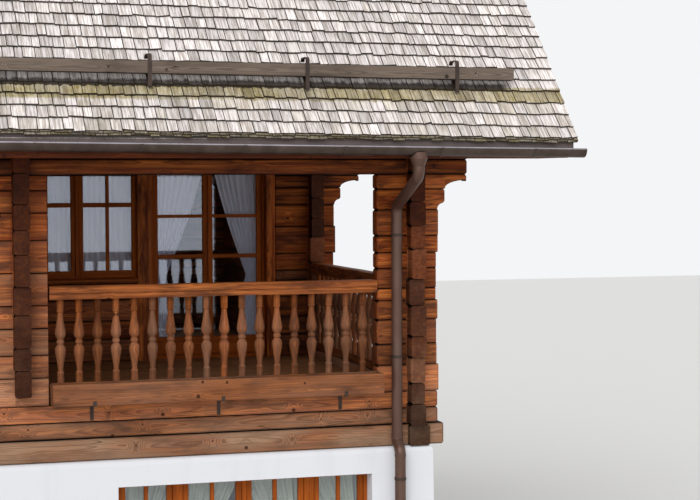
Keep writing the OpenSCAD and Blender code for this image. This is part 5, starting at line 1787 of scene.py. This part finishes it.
@dataclass
class Balustrades:
    """Handrails, bottom rails, turned balusters and board troughs of the loggias."""

    house: House = HOUSE
    rail_h: float = 1.047
    rail_w: float = 0.176
    cap_h: float = 0.06
    under_h: float = 0.054
    low_rail_z: float = 0.173
    low_rail_h: float = 0.085
    low_rail_w: float = 0.09
    belly_r: float = 0.048
    front_count: int = 18
    side_count: int = 16
    first_gap: float = 0.1
    last_gap: float = 0.121
    side_in: float = 0.01
    around: int = 18
    wall: float = 0.018
    greys: tuple[tuple[float, ...], ...] = ((-0.38, -0.1, 0.02, 0.16, 0.3, 0.38),
                                            (0.35, 0.38, 0.42, 0.32, 0.12, 0.05))
    rng: Draws = seeded(53)

    @property
    def front_span(self) -> Span:
        """Ends of the front balustrade."""
        return self.house.part_x + self.house.part_stub, self.house.half_len - self.house.pier_front

    @property
    def side_span(self) -> Span:
        """Ends of the side balustrade."""
        h = self.house
        return h.pier_side - h.half_dep, h.back_y - h.log_t / 2 - h.head_len

    def rail_outline(self) -> Array:
        """Section of the handrail: a cap with worn corners over a narrower rail."""
        w = self.rail_w / 2
        cap, low = -self.cap_h, -self.cap_h - self.under_h
        right = np.array([[w - 0.015, low], [w - 0.013, low + 0.003], [w - 0.013, cap - 0.001],
                          [w - 0.003, cap], [w, cap + 0.004], [w, -0.034], [w - 0.003, -0.026],
                          [w - 0.024, -0.002], [w - 0.032, 0.0]])
        return np.concatenate([right, right[::-1] * [-1, 1]])

    def rails(self, start: float, end: float, place: float) -> Surface:
        """Handrail and bottom rail along the front of the house.

        Args:
            start: Their left end.
            end: Their right end.
            place: Distance of their middle from the house's.

        Returns:
            The rails: the cap's section carried along X, swaying by two sine waves.
        """
        h = self.house
        along = np.linspace(start + FIT, end - FIT, 14)
        sway = 0.0012 * np.sin(along * 2.1) + 0.0008 * np.sin(along * 5.3 + 1)
        drift = np.stack([sway * 0.6, sway], axis=1)
        shift = float(self.rng.uniform(0, 20))
        cap = carried(self.rail_outline() + [-place, h.floor_z + self.rail_h - 0.002], along, Axis.X, drift,
                      (0.1, 0.1, 0.0), shift)
        low = [([start + FIT, -place - self.low_rail_w / 2, h.floor_z + self.low_rail_z - self.low_rail_h],
                [end - FIT, -place + self.low_rail_w / 2, h.floor_z + self.low_rail_z])]
        return joined([cap, bars(low, Axis.X, self.rng, edge=0.006, tone=0.0, weather=0.15)])

    def profile(self) -> Array:
        """A baluster's outline from foot to head: radius and height from its middle."""
        height = (self.rail_h - self.cap_h - self.under_h - self.low_rail_z) / 2
        upper = np.array(TURNING) * [self.belly_r, height]
        lower = upper[:0:-1] * [1, -1]
        return np.concatenate([lower, upper])

    def turned_balusters(self, places: Array) -> Surface:
        """Balusters with their feet at the given points, each turned from its own piece of wood.

        Args:
            places: (n, 2) middles of their feet.

        Returns:
            The balusters: x = r cos a, y = r sin a with the radius r from the profile at each z.
        """
        profile = self.profile()
        turn = np.linspace(0, 2 * math.pi, self.around, endpoint=False)
        ring = np.stack([np.cos(turn), np.sin(turn)], axis=1)
        shape = np.zeros((len(profile), self.around, 3))
        shape[..., :2] = profile[:, 0, None, None] * ring[None]
        shape[..., 2] = profile[:, 1, None]
        count = len(places)
        scale = 1 + self.rng.normal(0, 0.008, count)
        middle = (self.rail_h - self.cap_h - self.under_h + self.low_rail_z) / 2 + self.house.floor_z
        points = shape.reshape(1, -1, 3) * np.stack([scale, scale, np.ones(count)], axis=1)[:, None, :]
        points = points + np.append(places, np.full((count, 1), middle), axis=1)[:, None, :]
        loops, sizes = tube_faces(len(profile), self.around)
        shift = self.rng.uniform([2, 0.02, -0.02], [60, 0.06, 0.02], (count, 3))
        grain = shape.reshape(1, -1, 3)[..., [2, 0, 1]] + shift[:, None, :]
        look = np.zeros((count, len(sizes), 3))
        look[..., 0] = self.rng.normal(-0.45, 0.6, count)[:, None]
        grey = np.interp(profile[:-1, 1], *self.greys)
        grey = np.repeat(grey, self.around) + self.rng.normal(0, 0.1, (count, 1))
        look[:, :-2, 1] = np.clip(grey, 0, 0.9)
        look[:, -2:, 2] = 1.0
        return copies(points, loops, sizes, grain, look)

    def trough(self) -> Surface:
        """A board trough on irons in front of the front balustrade, open at the top."""
        low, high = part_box("flower_troughs")
        x0, x1 = self.front_span
        y0, z0, z1, w = low[1], low[2], high[2], self.wall
        y1 = y0 + 0.19
        long_boards = [([x0, y0, z0], [x1, y0 + w, z1]), ([x0, y1 - w, z0], [x1, y1, z1]),
                       ([x0 + w, y0 + w, z0], [x1 - w, y1 - w, z0 + w])]
        ends = [([x, y0 + w, z0], [x + w, y1 - w, z1]) for x in (x0, x1 - w)]
        return joined([bars(long_boards, Axis.X, self.rng, edge=0.004, tone=-0.7, weather=0.45),
                       bars(ends, Axis.Y, self.rng, edge=0.003, tone=-0.7, weather=0.45)])

    def build(self) -> None:
        """Builds and dresses the balustrades."""
        h = self.house
        x0, x1 = self.front_span
        y0, y1 = self.side_span
        front = self.rails(x0, x1, h.half_dep)
        side = turned(self.rails(y0, y1, h.half_len - self.side_in), Side.RIGHT)
        make_piece("moulded_handrails", left_and_right(joined([front, side])), RAIL_TIMBER,
                   "handrails")
        xs = np.linspace(x0 + self.first_gap, x1 - self.last_gap, self.front_count)
        step = (y1 - y0) / self.side_count
        ys = y0 + (np.arange(self.side_count) + 0.5) * step
        places = np.concatenate([np.stack([xs, np.full(len(xs), -h.half_dep)], axis=1),
                                 np.stack([np.full(len(ys), h.half_len - self.side_in), ys], axis=1)])
        make_piece("turned_balusters", left_and_right(self.turned_balusters(places)), RAIL_TIMBER,
                   "balusters", sharp=38)
        make_piece("board_troughs", left_and_right(self.trough()), RAIL_TIMBER,
                   "flower_troughs")
        dress_node("trough_brackets", IRON)


# Joinery, glass and curtains

@dataclass(frozen=True)
class Glass(Finish):
    """Clear window glass, through which lamps and the sky light what hangs behind it."""

    def inputs(self, g: Graph) -> dict:
        """What the shader gets."""
        path = g.add("LightPath")
        passing = g.math("MAXIMUM", path["Is Shadow Ray"], path["Is Diffuse Ray"])
        # The blue specular tint paints a sky colour into reflections of the white world
        return {"Base Color": (0.93, 0.95, 0.96, 1.0), "Specular Tint": (0.8, 0.86, 1.0, 1.0), "IOR": 1.75,
                "Transmission Weight": 1.0, "Roughness": 0.02,
                "Alpha": g.span(passing, 0.0, 1.0, 1.0, 0.08, smooth=False)}


@dataclass(frozen=True)
class Glazed:
    """A window, or a pair of glazed doors, seen from outside on its side of the house.

    middle and low place it on the wall; face is the distance of its frame's outer face from the
    middle of the house. sashes are pairs of start and width from its left end. head is how far
    the frame reaches up behind the wall, uprights the number of glazing bars in a sash, rails
    the heights and widths of its horizontal bars.
    """

    side: Side
    middle: float
    face: float
    low: float
    width: float
    height: float
    sashes: tuple[Span, ...]
    foot: float = 0.052
    head: float = 0.0
    stile: float = 0.052
    uprights: int = 1
    rails: tuple[Span, ...] = ()
    board: bool = False

    frame_d: float = 0.08
    sash_back: float = 0.012
    ledge: float = 0.035
    bar_w: float = 0.036
    board_out: float = 0.045
    recess: float = 0.02

    @property
    def left(self) -> float:
        """Its left end."""
        return self.middle - self.width / 2

    @property
    def top(self) -> float:
        """Its upper edge."""
        return self.low + self.height + self.head

    def frame(self) -> tuple[list, list]:
        """Upright and level members of the fixed frame.

        Returns:
            The boxes of the uprights and of the level members.
        """
        y0, y1 = -self.face, -self.face + self.frame_d
        ends = [self.left + FIT] + [self.left + e for s, w in self.sashes for e in (s, s + w)] \
            + [self.left + self.width - FIT]
        uprights = [([a, y0, self.low + FIT], [b, y1, self.top - FIT])
                    for a, b in zip(ends[::2], ends[1::2])]
        levels = [([self.left + s, y0, z], [self.left + s + w, y1, z + self.ledge])
                  for s, w in self.sashes for z in (self.low + FIT, self.top - self.ledge - FIT)]
        return uprights, levels

    def panes(self) -> list:
        """Clear openings of the sashes, as boxes of the sashes' depth."""
        y0, y1 = -self.face + self.sash_back, -self.face + self.frame_d - self.sash_back
        return [([self.left + s + self.stile, y0, self.low + self.ledge + self.foot],
                 [self.left + s + w - self.stile, y1, self.top - self.ledge - self.stile])
                for s, w in self.sashes]

    def sash_members(self) -> tuple[list, list]:
        """Upright and level members of the sashes, with their glazing bars and drip rails.

        Returns:
            The boxes of the uprights and of the level members.
        """
        uprights, levels = [], []
        for (s, w), (low, high) in zip(self.sashes, self.panes()):
            x0, x1 = self.left + s + FIT, self.left + s + w - FIT
            z0, z1 = self.low + self.ledge + FIT, self.top - self.ledge - FIT
            y0, y1 = low[1], high[1]
            uprights += [([x0, y0, z0], [low[0], y1, z1]), ([high[0], y0, z0], [x1, y1, z1])]
            levels += [([low[0], y0, z0], [high[0], y1, low[2]]), ([low[0], y0, high[2]], [high[0], y1, z1])]
            inset = 0.006
            for k in range(self.uprights):
                x = low[0] + (high[0] - low[0]) * (k + 1) / (self.uprights + 1)
                uprights.append(([x - self.bar_w / 2, y0 + inset, low[2]],
                                 [x + self.bar_w / 2, y1 - inset, high[2]]))
            for z, thick in self.rails:
                levels.append(([low[0], y0 + inset, z - thick / 2], [high[0], y1 - inset, z + thick / 2]))
            levels.append(([x0 + 0.012, y0 - 0.016, z0 + 0.012], [x1 - 0.012, y0 + 0.004, z0 + 0.036]))
        return uprights, levels

    def sill_board(self) -> list[Surface]:
        """Board in front of its foot, with a sloped top and a worn nose, where it has one."""
        if not self.board:
            return []
        y = -self.face - FIT
        out = self.recess + self.board_out
        z = self.low + FIT
        top = self.low + self.ledge
        nose = y - out
        outline = np.array([[nose, z], [y, z], [y, top], [nose + 0.006, top - 0.007], [nose, top - 0.012]])
        return [carried(outline, [self.left + FIT, self.left + self.width - FIT], Axis.X,
                        look=(0.1, 0.25, 0.0), shift=abs(self.middle))]


def even_sashes(width: float, count: int, post: float, casing: float) -> tuple[Span, ...]:
    """Equal sashes between casings, with posts between them."""
    sash = (width - 2 * casing - (count - 1) * post) / count
    return tuple((casing + i * (sash + post), sash) for i in range(count))


@dataclass
class Joinery:
    """All windows, the French doors and the entrance door, with their glass."""

    house: House = HOUSE
    wall_recess: float = 0.02
    masonry_recess: float = 0.145
    batter: float = 0.025
    ribbon_x: float = 3.734
    ribbon_w: float = 2.345
    ribbon_h: float = 1.165
    ribbon_z: float = 1.15
    small_w: float = 1.1
    small_y: float = 1.9
    post: float = 0.035
    glass_t: float = 0.006
    door_w: float = 1.1
    door_h: float = 2.08
    slab_h: float = 0.2
    lining: float = 0.06
    rng: Draws = seeded(67)

    def ribbon_sashes(self) -> tuple[Span, ...]:
        """Two middle sashes that meet at a slim post, and one on each side past a wide post."""
        casing, middle, meet, post = 0.035, 0.545, 0.041, 0.093
        side = self.ribbon_w / 2 - casing - post - middle - meet / 2
        return ((casing, side), (casing + side + post, middle),
                ((self.ribbon_w + meet) / 2, middle), (self.ribbon_w - casing - side, side))

    def loggia_glazing(self) -> list[Glazed]:
        """Window and doors of the right loggia."""
        h, s = self.house, LOGGIA
        wall = -h.back_y + h.log_t / 2
        window = Glazed(Side.FRONT, s.window_start + s.window_w / 2, wall - self.wall_recess, s.window_low,
                        s.window_w, s.window_h, even_sashes(s.window_w, 2, 0.04, 0.006), foot=0.085,
                        stile=0.046, rails=((4.754, 0.049),), board=True)
        doors = Glazed(Side.FRONT, s.doors_end - s.doors_w / 2, wall - 0.083, h.floor_z, s.doors_w,
                       s.head - h.floor_z, even_sashes(s.doors_w, 2, 0.004, 0.03), foot=0.205,
                       stile=0.054, uprights=0, rails=((4.623, 0.036), (4.178, 0.044)))
        return [window, doors]

    def wall_glazing(self, side: Side, middle: float, low: float, height: float) -> Glazed:
        """A window in a log wall.

        Args:
            side: Side of the house.
            middle: Its middle along the wall.
            low: Its foot.
            height: Its height.

        Returns:
            The window.
        """
        h = self.house
        wall = h.face_x if side in (Side.LEFT, Side.RIGHT) else h.face_y
        width = LogStorey.window_w
        return Glazed(side, middle, wall - self.wall_recess, low, width, height,
                      even_sashes(width, 2, self.post, 0.035), rails=((low + 0.68 * height, 0.04),),
                      board=True)

    def masonry_glazing(self, side: Side, middle: float, width: float, sashes: tuple[Span, ...]) -> Glazed:
        """A window in the masonry, whose head is behind the lintel.

        Args:
            side: Side of the house.
            middle: Its middle along the wall.
            width: Its width.
            sashes: Its sashes.

        Returns:
            The window.
        """
        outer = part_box("masonry_sides")[1][0] if side is Side.RIGHT else -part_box("masonry_front")[0][1]
        return Glazed(side, middle, outer - self.batter - self.masonry_recess, self.ribbon_z, width,
                      self.ribbon_h, sashes, head=0.055,
                      rails=((self.ribbon_z + 0.66 * self.ribbon_h, 0.036),))

    def groups(self) -> dict[str, tuple[list[Glazed], list[Glazed]]]:
        """For each node the glazing of the right half, to be mirrored, and that of the middle."""
        walls = LogStorey()
        low, height = walls.window_low, walls.window_h
        attic_low, attic_high = ATTIC_WINDOW
        ribbon = self.ribbon_sashes()
        pair = even_sashes(self.small_w, 2, self.post, 0.035)
        loggia = self.loggia_glazing()
        return {
            "loggia_windows": (loggia[:1], []),
            "french_doors": (loggia[1:], []),
            "wall_windows": (
                [self.wall_glazing(Side.RIGHT, GABLE_WINDOW_Y, low, height),
                 self.wall_glazing(Side.RIGHT, 0.0, attic_low, attic_high - attic_low)],
                [self.wall_glazing(Side.FRONT, 0.0, low, height)]
                + [self.wall_glazing(Side.REAR, x, low, height) for x in REAR_WINDOWS]),
            "ground_windows": (
                [self.masonry_glazing(Side.FRONT, self.ribbon_x, self.ribbon_w, ribbon),
                 self.masonry_glazing(Side.REAR, self.ribbon_x, self.ribbon_w, ribbon),
                 self.masonry_glazing(Side.RIGHT, self.small_y, self.small_w, pair),
                 self.masonry_glazing(Side.RIGHT, -self.small_y, self.small_w, pair)],
                [self.masonry_glazing(Side.FRONT, 0.0, self.small_w, pair)])}

    def wood(self, item: Glazed) -> Surface:
        """Frame, sashes and sill board of a window."""
        parts = []
        for uprights, levels, edge in ((*item.frame(), 0.003), (*item.sash_members(), 0.006)):
            parts += [bars(uprights, Axis.Z, self.rng, edge=edge, spread=0.15),
                      bars(levels, Axis.X, self.rng, edge=edge, spread=0.15)]
        return turned(joined(parts + item.sill_board()), item.side)

    def glass(self, item: Glazed) -> Surface:
        """Panes of a window."""
        boxes = []
        for low, high in item.panes():
            y = (low[1] + high[1]) / 2
            boxes.append(([low[0] - 0.004, y - self.glass_t / 2, low[2] - 0.004],
                          [high[0] + 0.004, y + self.glass_t / 2, high[2] + 0.004]))
        return turned(bars(boxes, Axis.Z, self.rng, edge=0.0005), item.side)

    def whole(self, make: Callable[[Glazed], Surface], pair: tuple[list[Glazed], list[Glazed]]) -> Surface:
        """A node's glazing on both halves of the house."""
        halves, middles = pair
        parts = [left_and_right(make(item)) for item in halves] + [make(item) for item in middles]
        return joined(parts)

    def entrance(self) -> Surface:
        """The entrance door at the rear: a lined frame and a leaf of upright boards."""
        outer = -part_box("masonry_front")[0][1] - self.batter - self.masonry_recess
        x0, z0, z1 = -self.door_w / 2, self.slab_h, self.slab_h + self.door_h - FIT
        y0, y1, w = -outer, -outer + 0.08, self.lining
        frame_parts = [([x0 + FIT, y0, z0], [x0 + w, y1, z1]), ([-x0 - w, y0, z0], [-x0 - FIT, y1, z1])]
        head = [([x0 + w, y0, z1 - w], [-x0 - w, y1, z1])]
        count = 7
        a, b = x0 + w + 0.003, -x0 - w - 0.003
        step = (b - a) / count
        leaf = [([a + i * step + 0.001, y0 + 0.012, z0 + 0.004],
                 [a + (i + 1) * step - 0.001, y0 + 0.04, z1 - w - 0.003]) for i in range(count)]
        ledges = [([a, y0 + 0.04, z], [b, y1 - 0.012, z + 0.16])
                  for z in (z0 + 0.2, z0 + 0.92, z1 - w - 0.36)]
        wood = [bars(frame_parts + leaf, Axis.Z, self.rng, edge=0.004),
                bars(head + ledges, Axis.X, self.rng, edge=0.004)]
        return turned(joined(wood), Side.REAR)

    def build(self) -> None:
        """Builds and dresses the joinery and the glass."""
        names = {"loggia_windows": "loggia_casements", "french_doors": "glazed_french_doors",
                 "wall_windows": "log_wall_casements", "ground_windows": "ground_casements"}
        groups = self.groups()
        for node, pair in groups.items():
            make_piece(names[node], self.whole(self.wood, pair), JOINERY_TIMBER, node)
        make_piece("boarded_entrance_door", self.entrance(), JOINERY_TIMBER, "entrance_door")
        glass = Glass("window glass")
        *upper, ground = [self.whole(self.glass, pair) for pair in groups.values()]
        make_piece("upper_panes", joined(upper), glass, "upper_glass")
        make_piece("ground_panes", ground, glass, "ground_glass")


@dataclass(frozen=True)
class Drape:
    """A curtain that hangs from a track in folds.

    top is its span at the track, low and high its heights, place the distance of its middle plane
    from the middle of the house. Where it is tied, gather is its span at the tie and hem the one
    at its foot; above the tie its free edge falls in a curve, below it the folds open again.
    """

    name: str
    top: Span
    low: float
    high: float
    place: float
    folds: int
    depth: float
    tied: float | None = None
    gather: Span = (0.0, 0.0)
    hem: Span = (0.0, 0.0)

    def spans(self, z: Array) -> tuple[Array, Array]:
        """Both edges of the curtain at each height.

        Args:
            z: The heights.

        Returns:
            Its left and its right edges.
        """
        if self.tied is None:
            return np.full(len(z), self.top[0]), np.full(len(z), self.top[1])
        above = np.clip((self.high - z) / (self.high - self.tied), 0, 1) ** 1.25
        below = np.clip((self.tied - z) / (self.tied - self.low), 0, 1) ** 0.6
        return tuple(t + (g - t) * above + (h - g) * below
                     for t, g, h in zip(self.top, self.gather, self.hem))

    def cloth(self, columns: int = 12, rows: int = 56) -> tuple[Array, list, float]:
        """Points and faces of the cloth, and the width that it has when it is laid flat.

        A row of folds y = a sin(2 pi n u) over a width w has the length w times the mean of
        sqrt(1 + k^2 cos^2), k = 2 pi n a / w. Each row is as long as the first, which sets a.

        Args:
            columns: Faces across a fold.
            rows: Points down the cloth.

        Returns:
            The points, the faces and the flat width.
        """
        turn = np.linspace(0, 2 * math.pi, 200, endpoint=False)
        slopes = np.linspace(0, 30, 600)
        ratio = np.sqrt(1 + (slopes[:, None] * np.cos(turn)[None, :]) ** 2).mean(axis=1)
        z = np.linspace(self.high, self.low, rows)
        left, right = self.spans(z)
        width = right - left
        first = 2 * math.pi * self.folds * self.depth / width[0]
        flat = float(width[0] * np.interp(first, slopes, ratio))
        size = np.interp(flat / width, ratio, slopes) * width / (2 * math.pi * self.folds)
        u = np.linspace(0, 1, self.folds * columns + 1)
        phase = 2 * math.pi * self.folds * u
        drift = 0.7 * np.sin(2 * math.pi * (1.4 * u[None, :] + 0.35 * (z[:, None] - self.low)))
        swing = 1 - 0.12 * np.sin(5 * u[None, :] + 3 * z[:, None])
        x = left[:, None] + width[:, None] * u[None, :]
        y = -self.place + size[:, None] * swing * np.sin(phase[None, :] + drift)
        points = np.stack([x, y, np.broadcast_to(z[:, None], x.shape)], axis=-1).reshape(-1, 3)
        n = len(u)
        i = np.arange(rows - 1)[:, None] * n
        k = np.arange(n - 1)[None, :]
        faces = np.stack([i + k, i + n + k, i + n + k + 1, i + k + 1], axis=-1).reshape(-1, 4)
        return points, faces.tolist(), flat

    def mirror(self) -> Drape:
        """The same curtain in the left half of the house."""
        return replace(self, name=self.name.replace("right", "left"), top=(-self.top[1], -self.top[0]),
                       gather=(-self.gather[1], -self.gather[0]), hem=(-self.hem[1], -self.hem[0]))


@dataclass(frozen=True)
class Voile(Finish):
    """Thin curtain cloth that lets some light through."""

    light: Colour
    shade: Colour

    def inputs(self, g: Graph) -> dict:
        """What the shader gets."""
        share = g.span(g.noise(g.place(), (60.0, 60.0, 9.0)), 0.3, 0.7, 0.0, 0.25)
        return {"Base Color": g.blend(share, self.light, self.shade), "Roughness": 0.85,
                "Transmission Weight": 0.06}


@dataclass
class Curtains:
    """Voile behind the loggias' windows and doors, and behind the front ribbon windows."""

    thickness: float = 0.0008

    def drapes(self) -> dict[str, list[Drape]]:
        """The curtains of the right half, by the node that they stand for."""
        s = LOGGIA
        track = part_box("loggia_curtains")
        back = -(track[0][1] + track[1][1]) / 2
        top = float(track[1][2]) - 0.002
        start, end = s.doors_end - s.doors_w + 0.03, s.doors_end - 0.03
        middle = (start + end) / 2
        floor = float(track[0][2]) + 0.004
        loggia = [Drape("voile_right_window", (s.window_start + 0.02, s.post_start - 0.02),
                        s.window_low - 0.055, top, back, 20, 0.012),
                  Drape("voile_right_door_a", (start, middle - 0.02), floor, top, back, 9, 0.014, 3.95,
                        (start, start + 0.15), (start, start + 0.27)),
                  Drape("voile_right_door_b", (middle + 0.08, end), floor, top, back, 8, 0.014, 3.95,
                        (end - 0.15, end), (end - 0.27, end))]
        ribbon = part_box("ribbon_curtains")
        plane = -(ribbon[0][1] + ribbon[1][1]) / 2
        z0, z1 = float(ribbon[0][2]) + 0.004, float(ribbon[1][2]) - 0.002
        tie = z0 + 0.42 * (z1 - z0)
        edges = (2.58, 3.13, 3.71, 4.3, 4.885)
        below = []
        for i, (a, b) in enumerate(zip(edges[:-1], edges[1:])):
            low_edge = i < 2
            gather = (a, a + 0.16) if low_edge else (b - 0.16, b)
            hem = (a, a + 0.26) if low_edge else (b - 0.26, b)
            below.append(Drape(f"voile_right_ribbon_{'abcd'[i]}", (a + 0.01, b - 0.01), z0, z1, plane, 8,
                               0.014, tie, gather, hem))
        return {"loggia_curtains": loggia, "ribbon_curtains": below}

    def build(self) -> None:
        # Painted light in the cloths: the loggia voile's blue tint is a painted sky reflection; the ribbon
        # voile's dim green-grey is painted shade and reflection
        cloths = {"loggia_curtains": Voile("white voile", srgb(238, 241, 255), srgb(214, 218, 240)),
                  "ribbon_curtains": Voile("aged voile", srgb(176, 186, 172), srgb(150, 160, 146))}
        for node, drapes in self.drapes().items():
            for drape in drapes + [d.mirror() for d in drapes]:
                points, faces, flat = drape.cloth()
                mesh = bpy.data.meshes.new(drape.name)
                mesh.from_pydata(points.tolist(), [], faces)
                mesh.shade_smooth()
                piece = add_piece(mesh, cloths[node], node)
                piece.modifiers.new("cloth", "SOLIDIFY").thickness = self.thickness
                log.info("%s: %.2f m wide when flat", drape.name, flat)
        dress_node("curtain_tracks", Plain("white curtain track", srgb(232, 232, 230)))


# Masonry

@dataclass(frozen=True)
class Plaster(Finish):
    """White lime render with a trowelled surface, and grey concrete for the slab."""

    light: Colour
    shade: Colour
    grain: float
    relief: float

    def inputs(self, g: Graph) -> dict:
        """What the shader gets."""
        place = g.place()
        trowel = g.noise(place, (2.2, 2.2, 3.0), 4.0, 0.55)
        sand = g.noise(place, (self.grain,) * 3, 2.0, 0.6)
        runs = g.noise(place, (5.0, 5.0, 0.7), 3.0, 0.6)
        splash = g.times(g.span(g.parts(place)[2], 0.0, 0.55, 0.8, 0.0), g.span(trowel, 0.3, 0.7))
        share = g.math("MAXIMUM", g.times(g.span(runs, 0.45, 0.8), 0.3), splash)
        colour = g.blend(share, self.light, self.shade)
        return g.coat(colour, 0.88, g.plus(sand, 0.22, trowel), self.relief, 0.2)


def build_masonry() -> None:
    """Dresses the rendered walls and the slab."""
    render = Plaster("white lime render", srgb(219, 220, 224), srgb(193, 194, 198), 180.0, 0.004)
    for node in ("masonry_front", "masonry_rear", "masonry_sides"):
        dress_node(node, render)
    concrete = Plaster("slab concrete", srgb(166, 164, 160), srgb(132, 130, 126), 90.0, 0.002)
    dress_node("ground_slab", concrete)


# Camera and light

@dataclass(frozen=True)
class PhotoCamera:
    """The photograph's viewpoint: place, lens in millimetres and turns in degrees."""

    place: tuple[float, float, float] = (0.225, -19.0, 5.03)
    lens: float = 87.69
    sensor: float = 36.0
    yaw: float = 16.72
    pitch: float = -2.39
    roll: float = -0.18

    def build(self) -> None:
        """Adds the camera."""
        data = bpy.data.cameras.new("photo_camera")
        data.lens = self.lens
        data.sensor_width = self.sensor
        camera = add_object("photo_camera", data)
        camera.matrix_world = (Matrix.Translation(self.place)
                               @ Matrix.Rotation(math.radians(-self.yaw), 4, "Z")
                               @ Matrix.Rotation(math.radians(90 + self.pitch), 4, "X")
                               @ Matrix.Rotation(math.radians(self.roll), 4, "Z"))
        bpy.context.scene.camera = camera


@dataclass(frozen=True)
class Studio:
    """Pale floor, soft sky, a soft high light and a low fill that reaches into the loggias.

    lamps holds for each its strength, its size and its turns in degrees.
    """

    floor_half: float = 60.0
    sky: float = 0.7
    lamps: tuple[tuple[float, float, tuple[float, float, float]], ...] = (
        (1.45, 35.0, (50.0, 0.0, -30.0)), (0.62, 60.0, (76.0, 0.0, -8.0)))

    def build(self) -> None:
        """Adds the floor, the world and the lamps."""
        scene = bpy.context.scene
        scene.view_settings.view_transform = "Standard"
        mesh = bpy.data.meshes.new("studio_floor")
        r = self.floor_half
        mesh.from_pydata([(-r, -r, 0), (r, -r, 0), (r, r, 0), (-r, r, 0)], [], [(0, 1, 2, 3)])
        mesh.materials.append(Plain("studio floor", srgb(222, 221, 218), 0.9).material())
        add_object("studio_floor", mesh)
        world = bpy.data.worlds.new("soft sky")
        world.use_nodes = True
        g = Graph(world.node_tree)
        path = g.add("LightPath")
        seen = g.math("MAXIMUM", path["Is Camera Ray"],
                      g.math("MAXIMUM", path["Is Glossy Ray"], path["Is Transmission Ray"]))
        g.feed(world.node_tree.nodes["Background"], {
            "Color": srgb(244, 245, 247), "Strength": g.span(seen, 0.0, 1.0, self.sky, 1.0, smooth=False)})
        scene.world = world
        for name, (energy, size, turn) in zip(("high_sun", "low_fill"), self.lamps):
            lamp = bpy.data.lights.new(name, "SUN")
            lamp.energy = energy
            lamp.angle = math.radians(size)
            add_object(name, lamp).rotation_euler = [math.radians(a) for a in turn]


def main() -> None:
    """Builds the house piece by piece."""
    logging.basicConfig(level=logging.INFO, format="%(message)s")
    PhotoCamera().build()
    Studio().build()
    LogStorey().build()
    Roof().build()
    Floors().build()
    Gutters().build()
    SnowGuards().build()
    Balustrades().build()
    Joinery().build()
    Curtains().build()
    build_masonry()


if __name__ == "__main__":
    main()
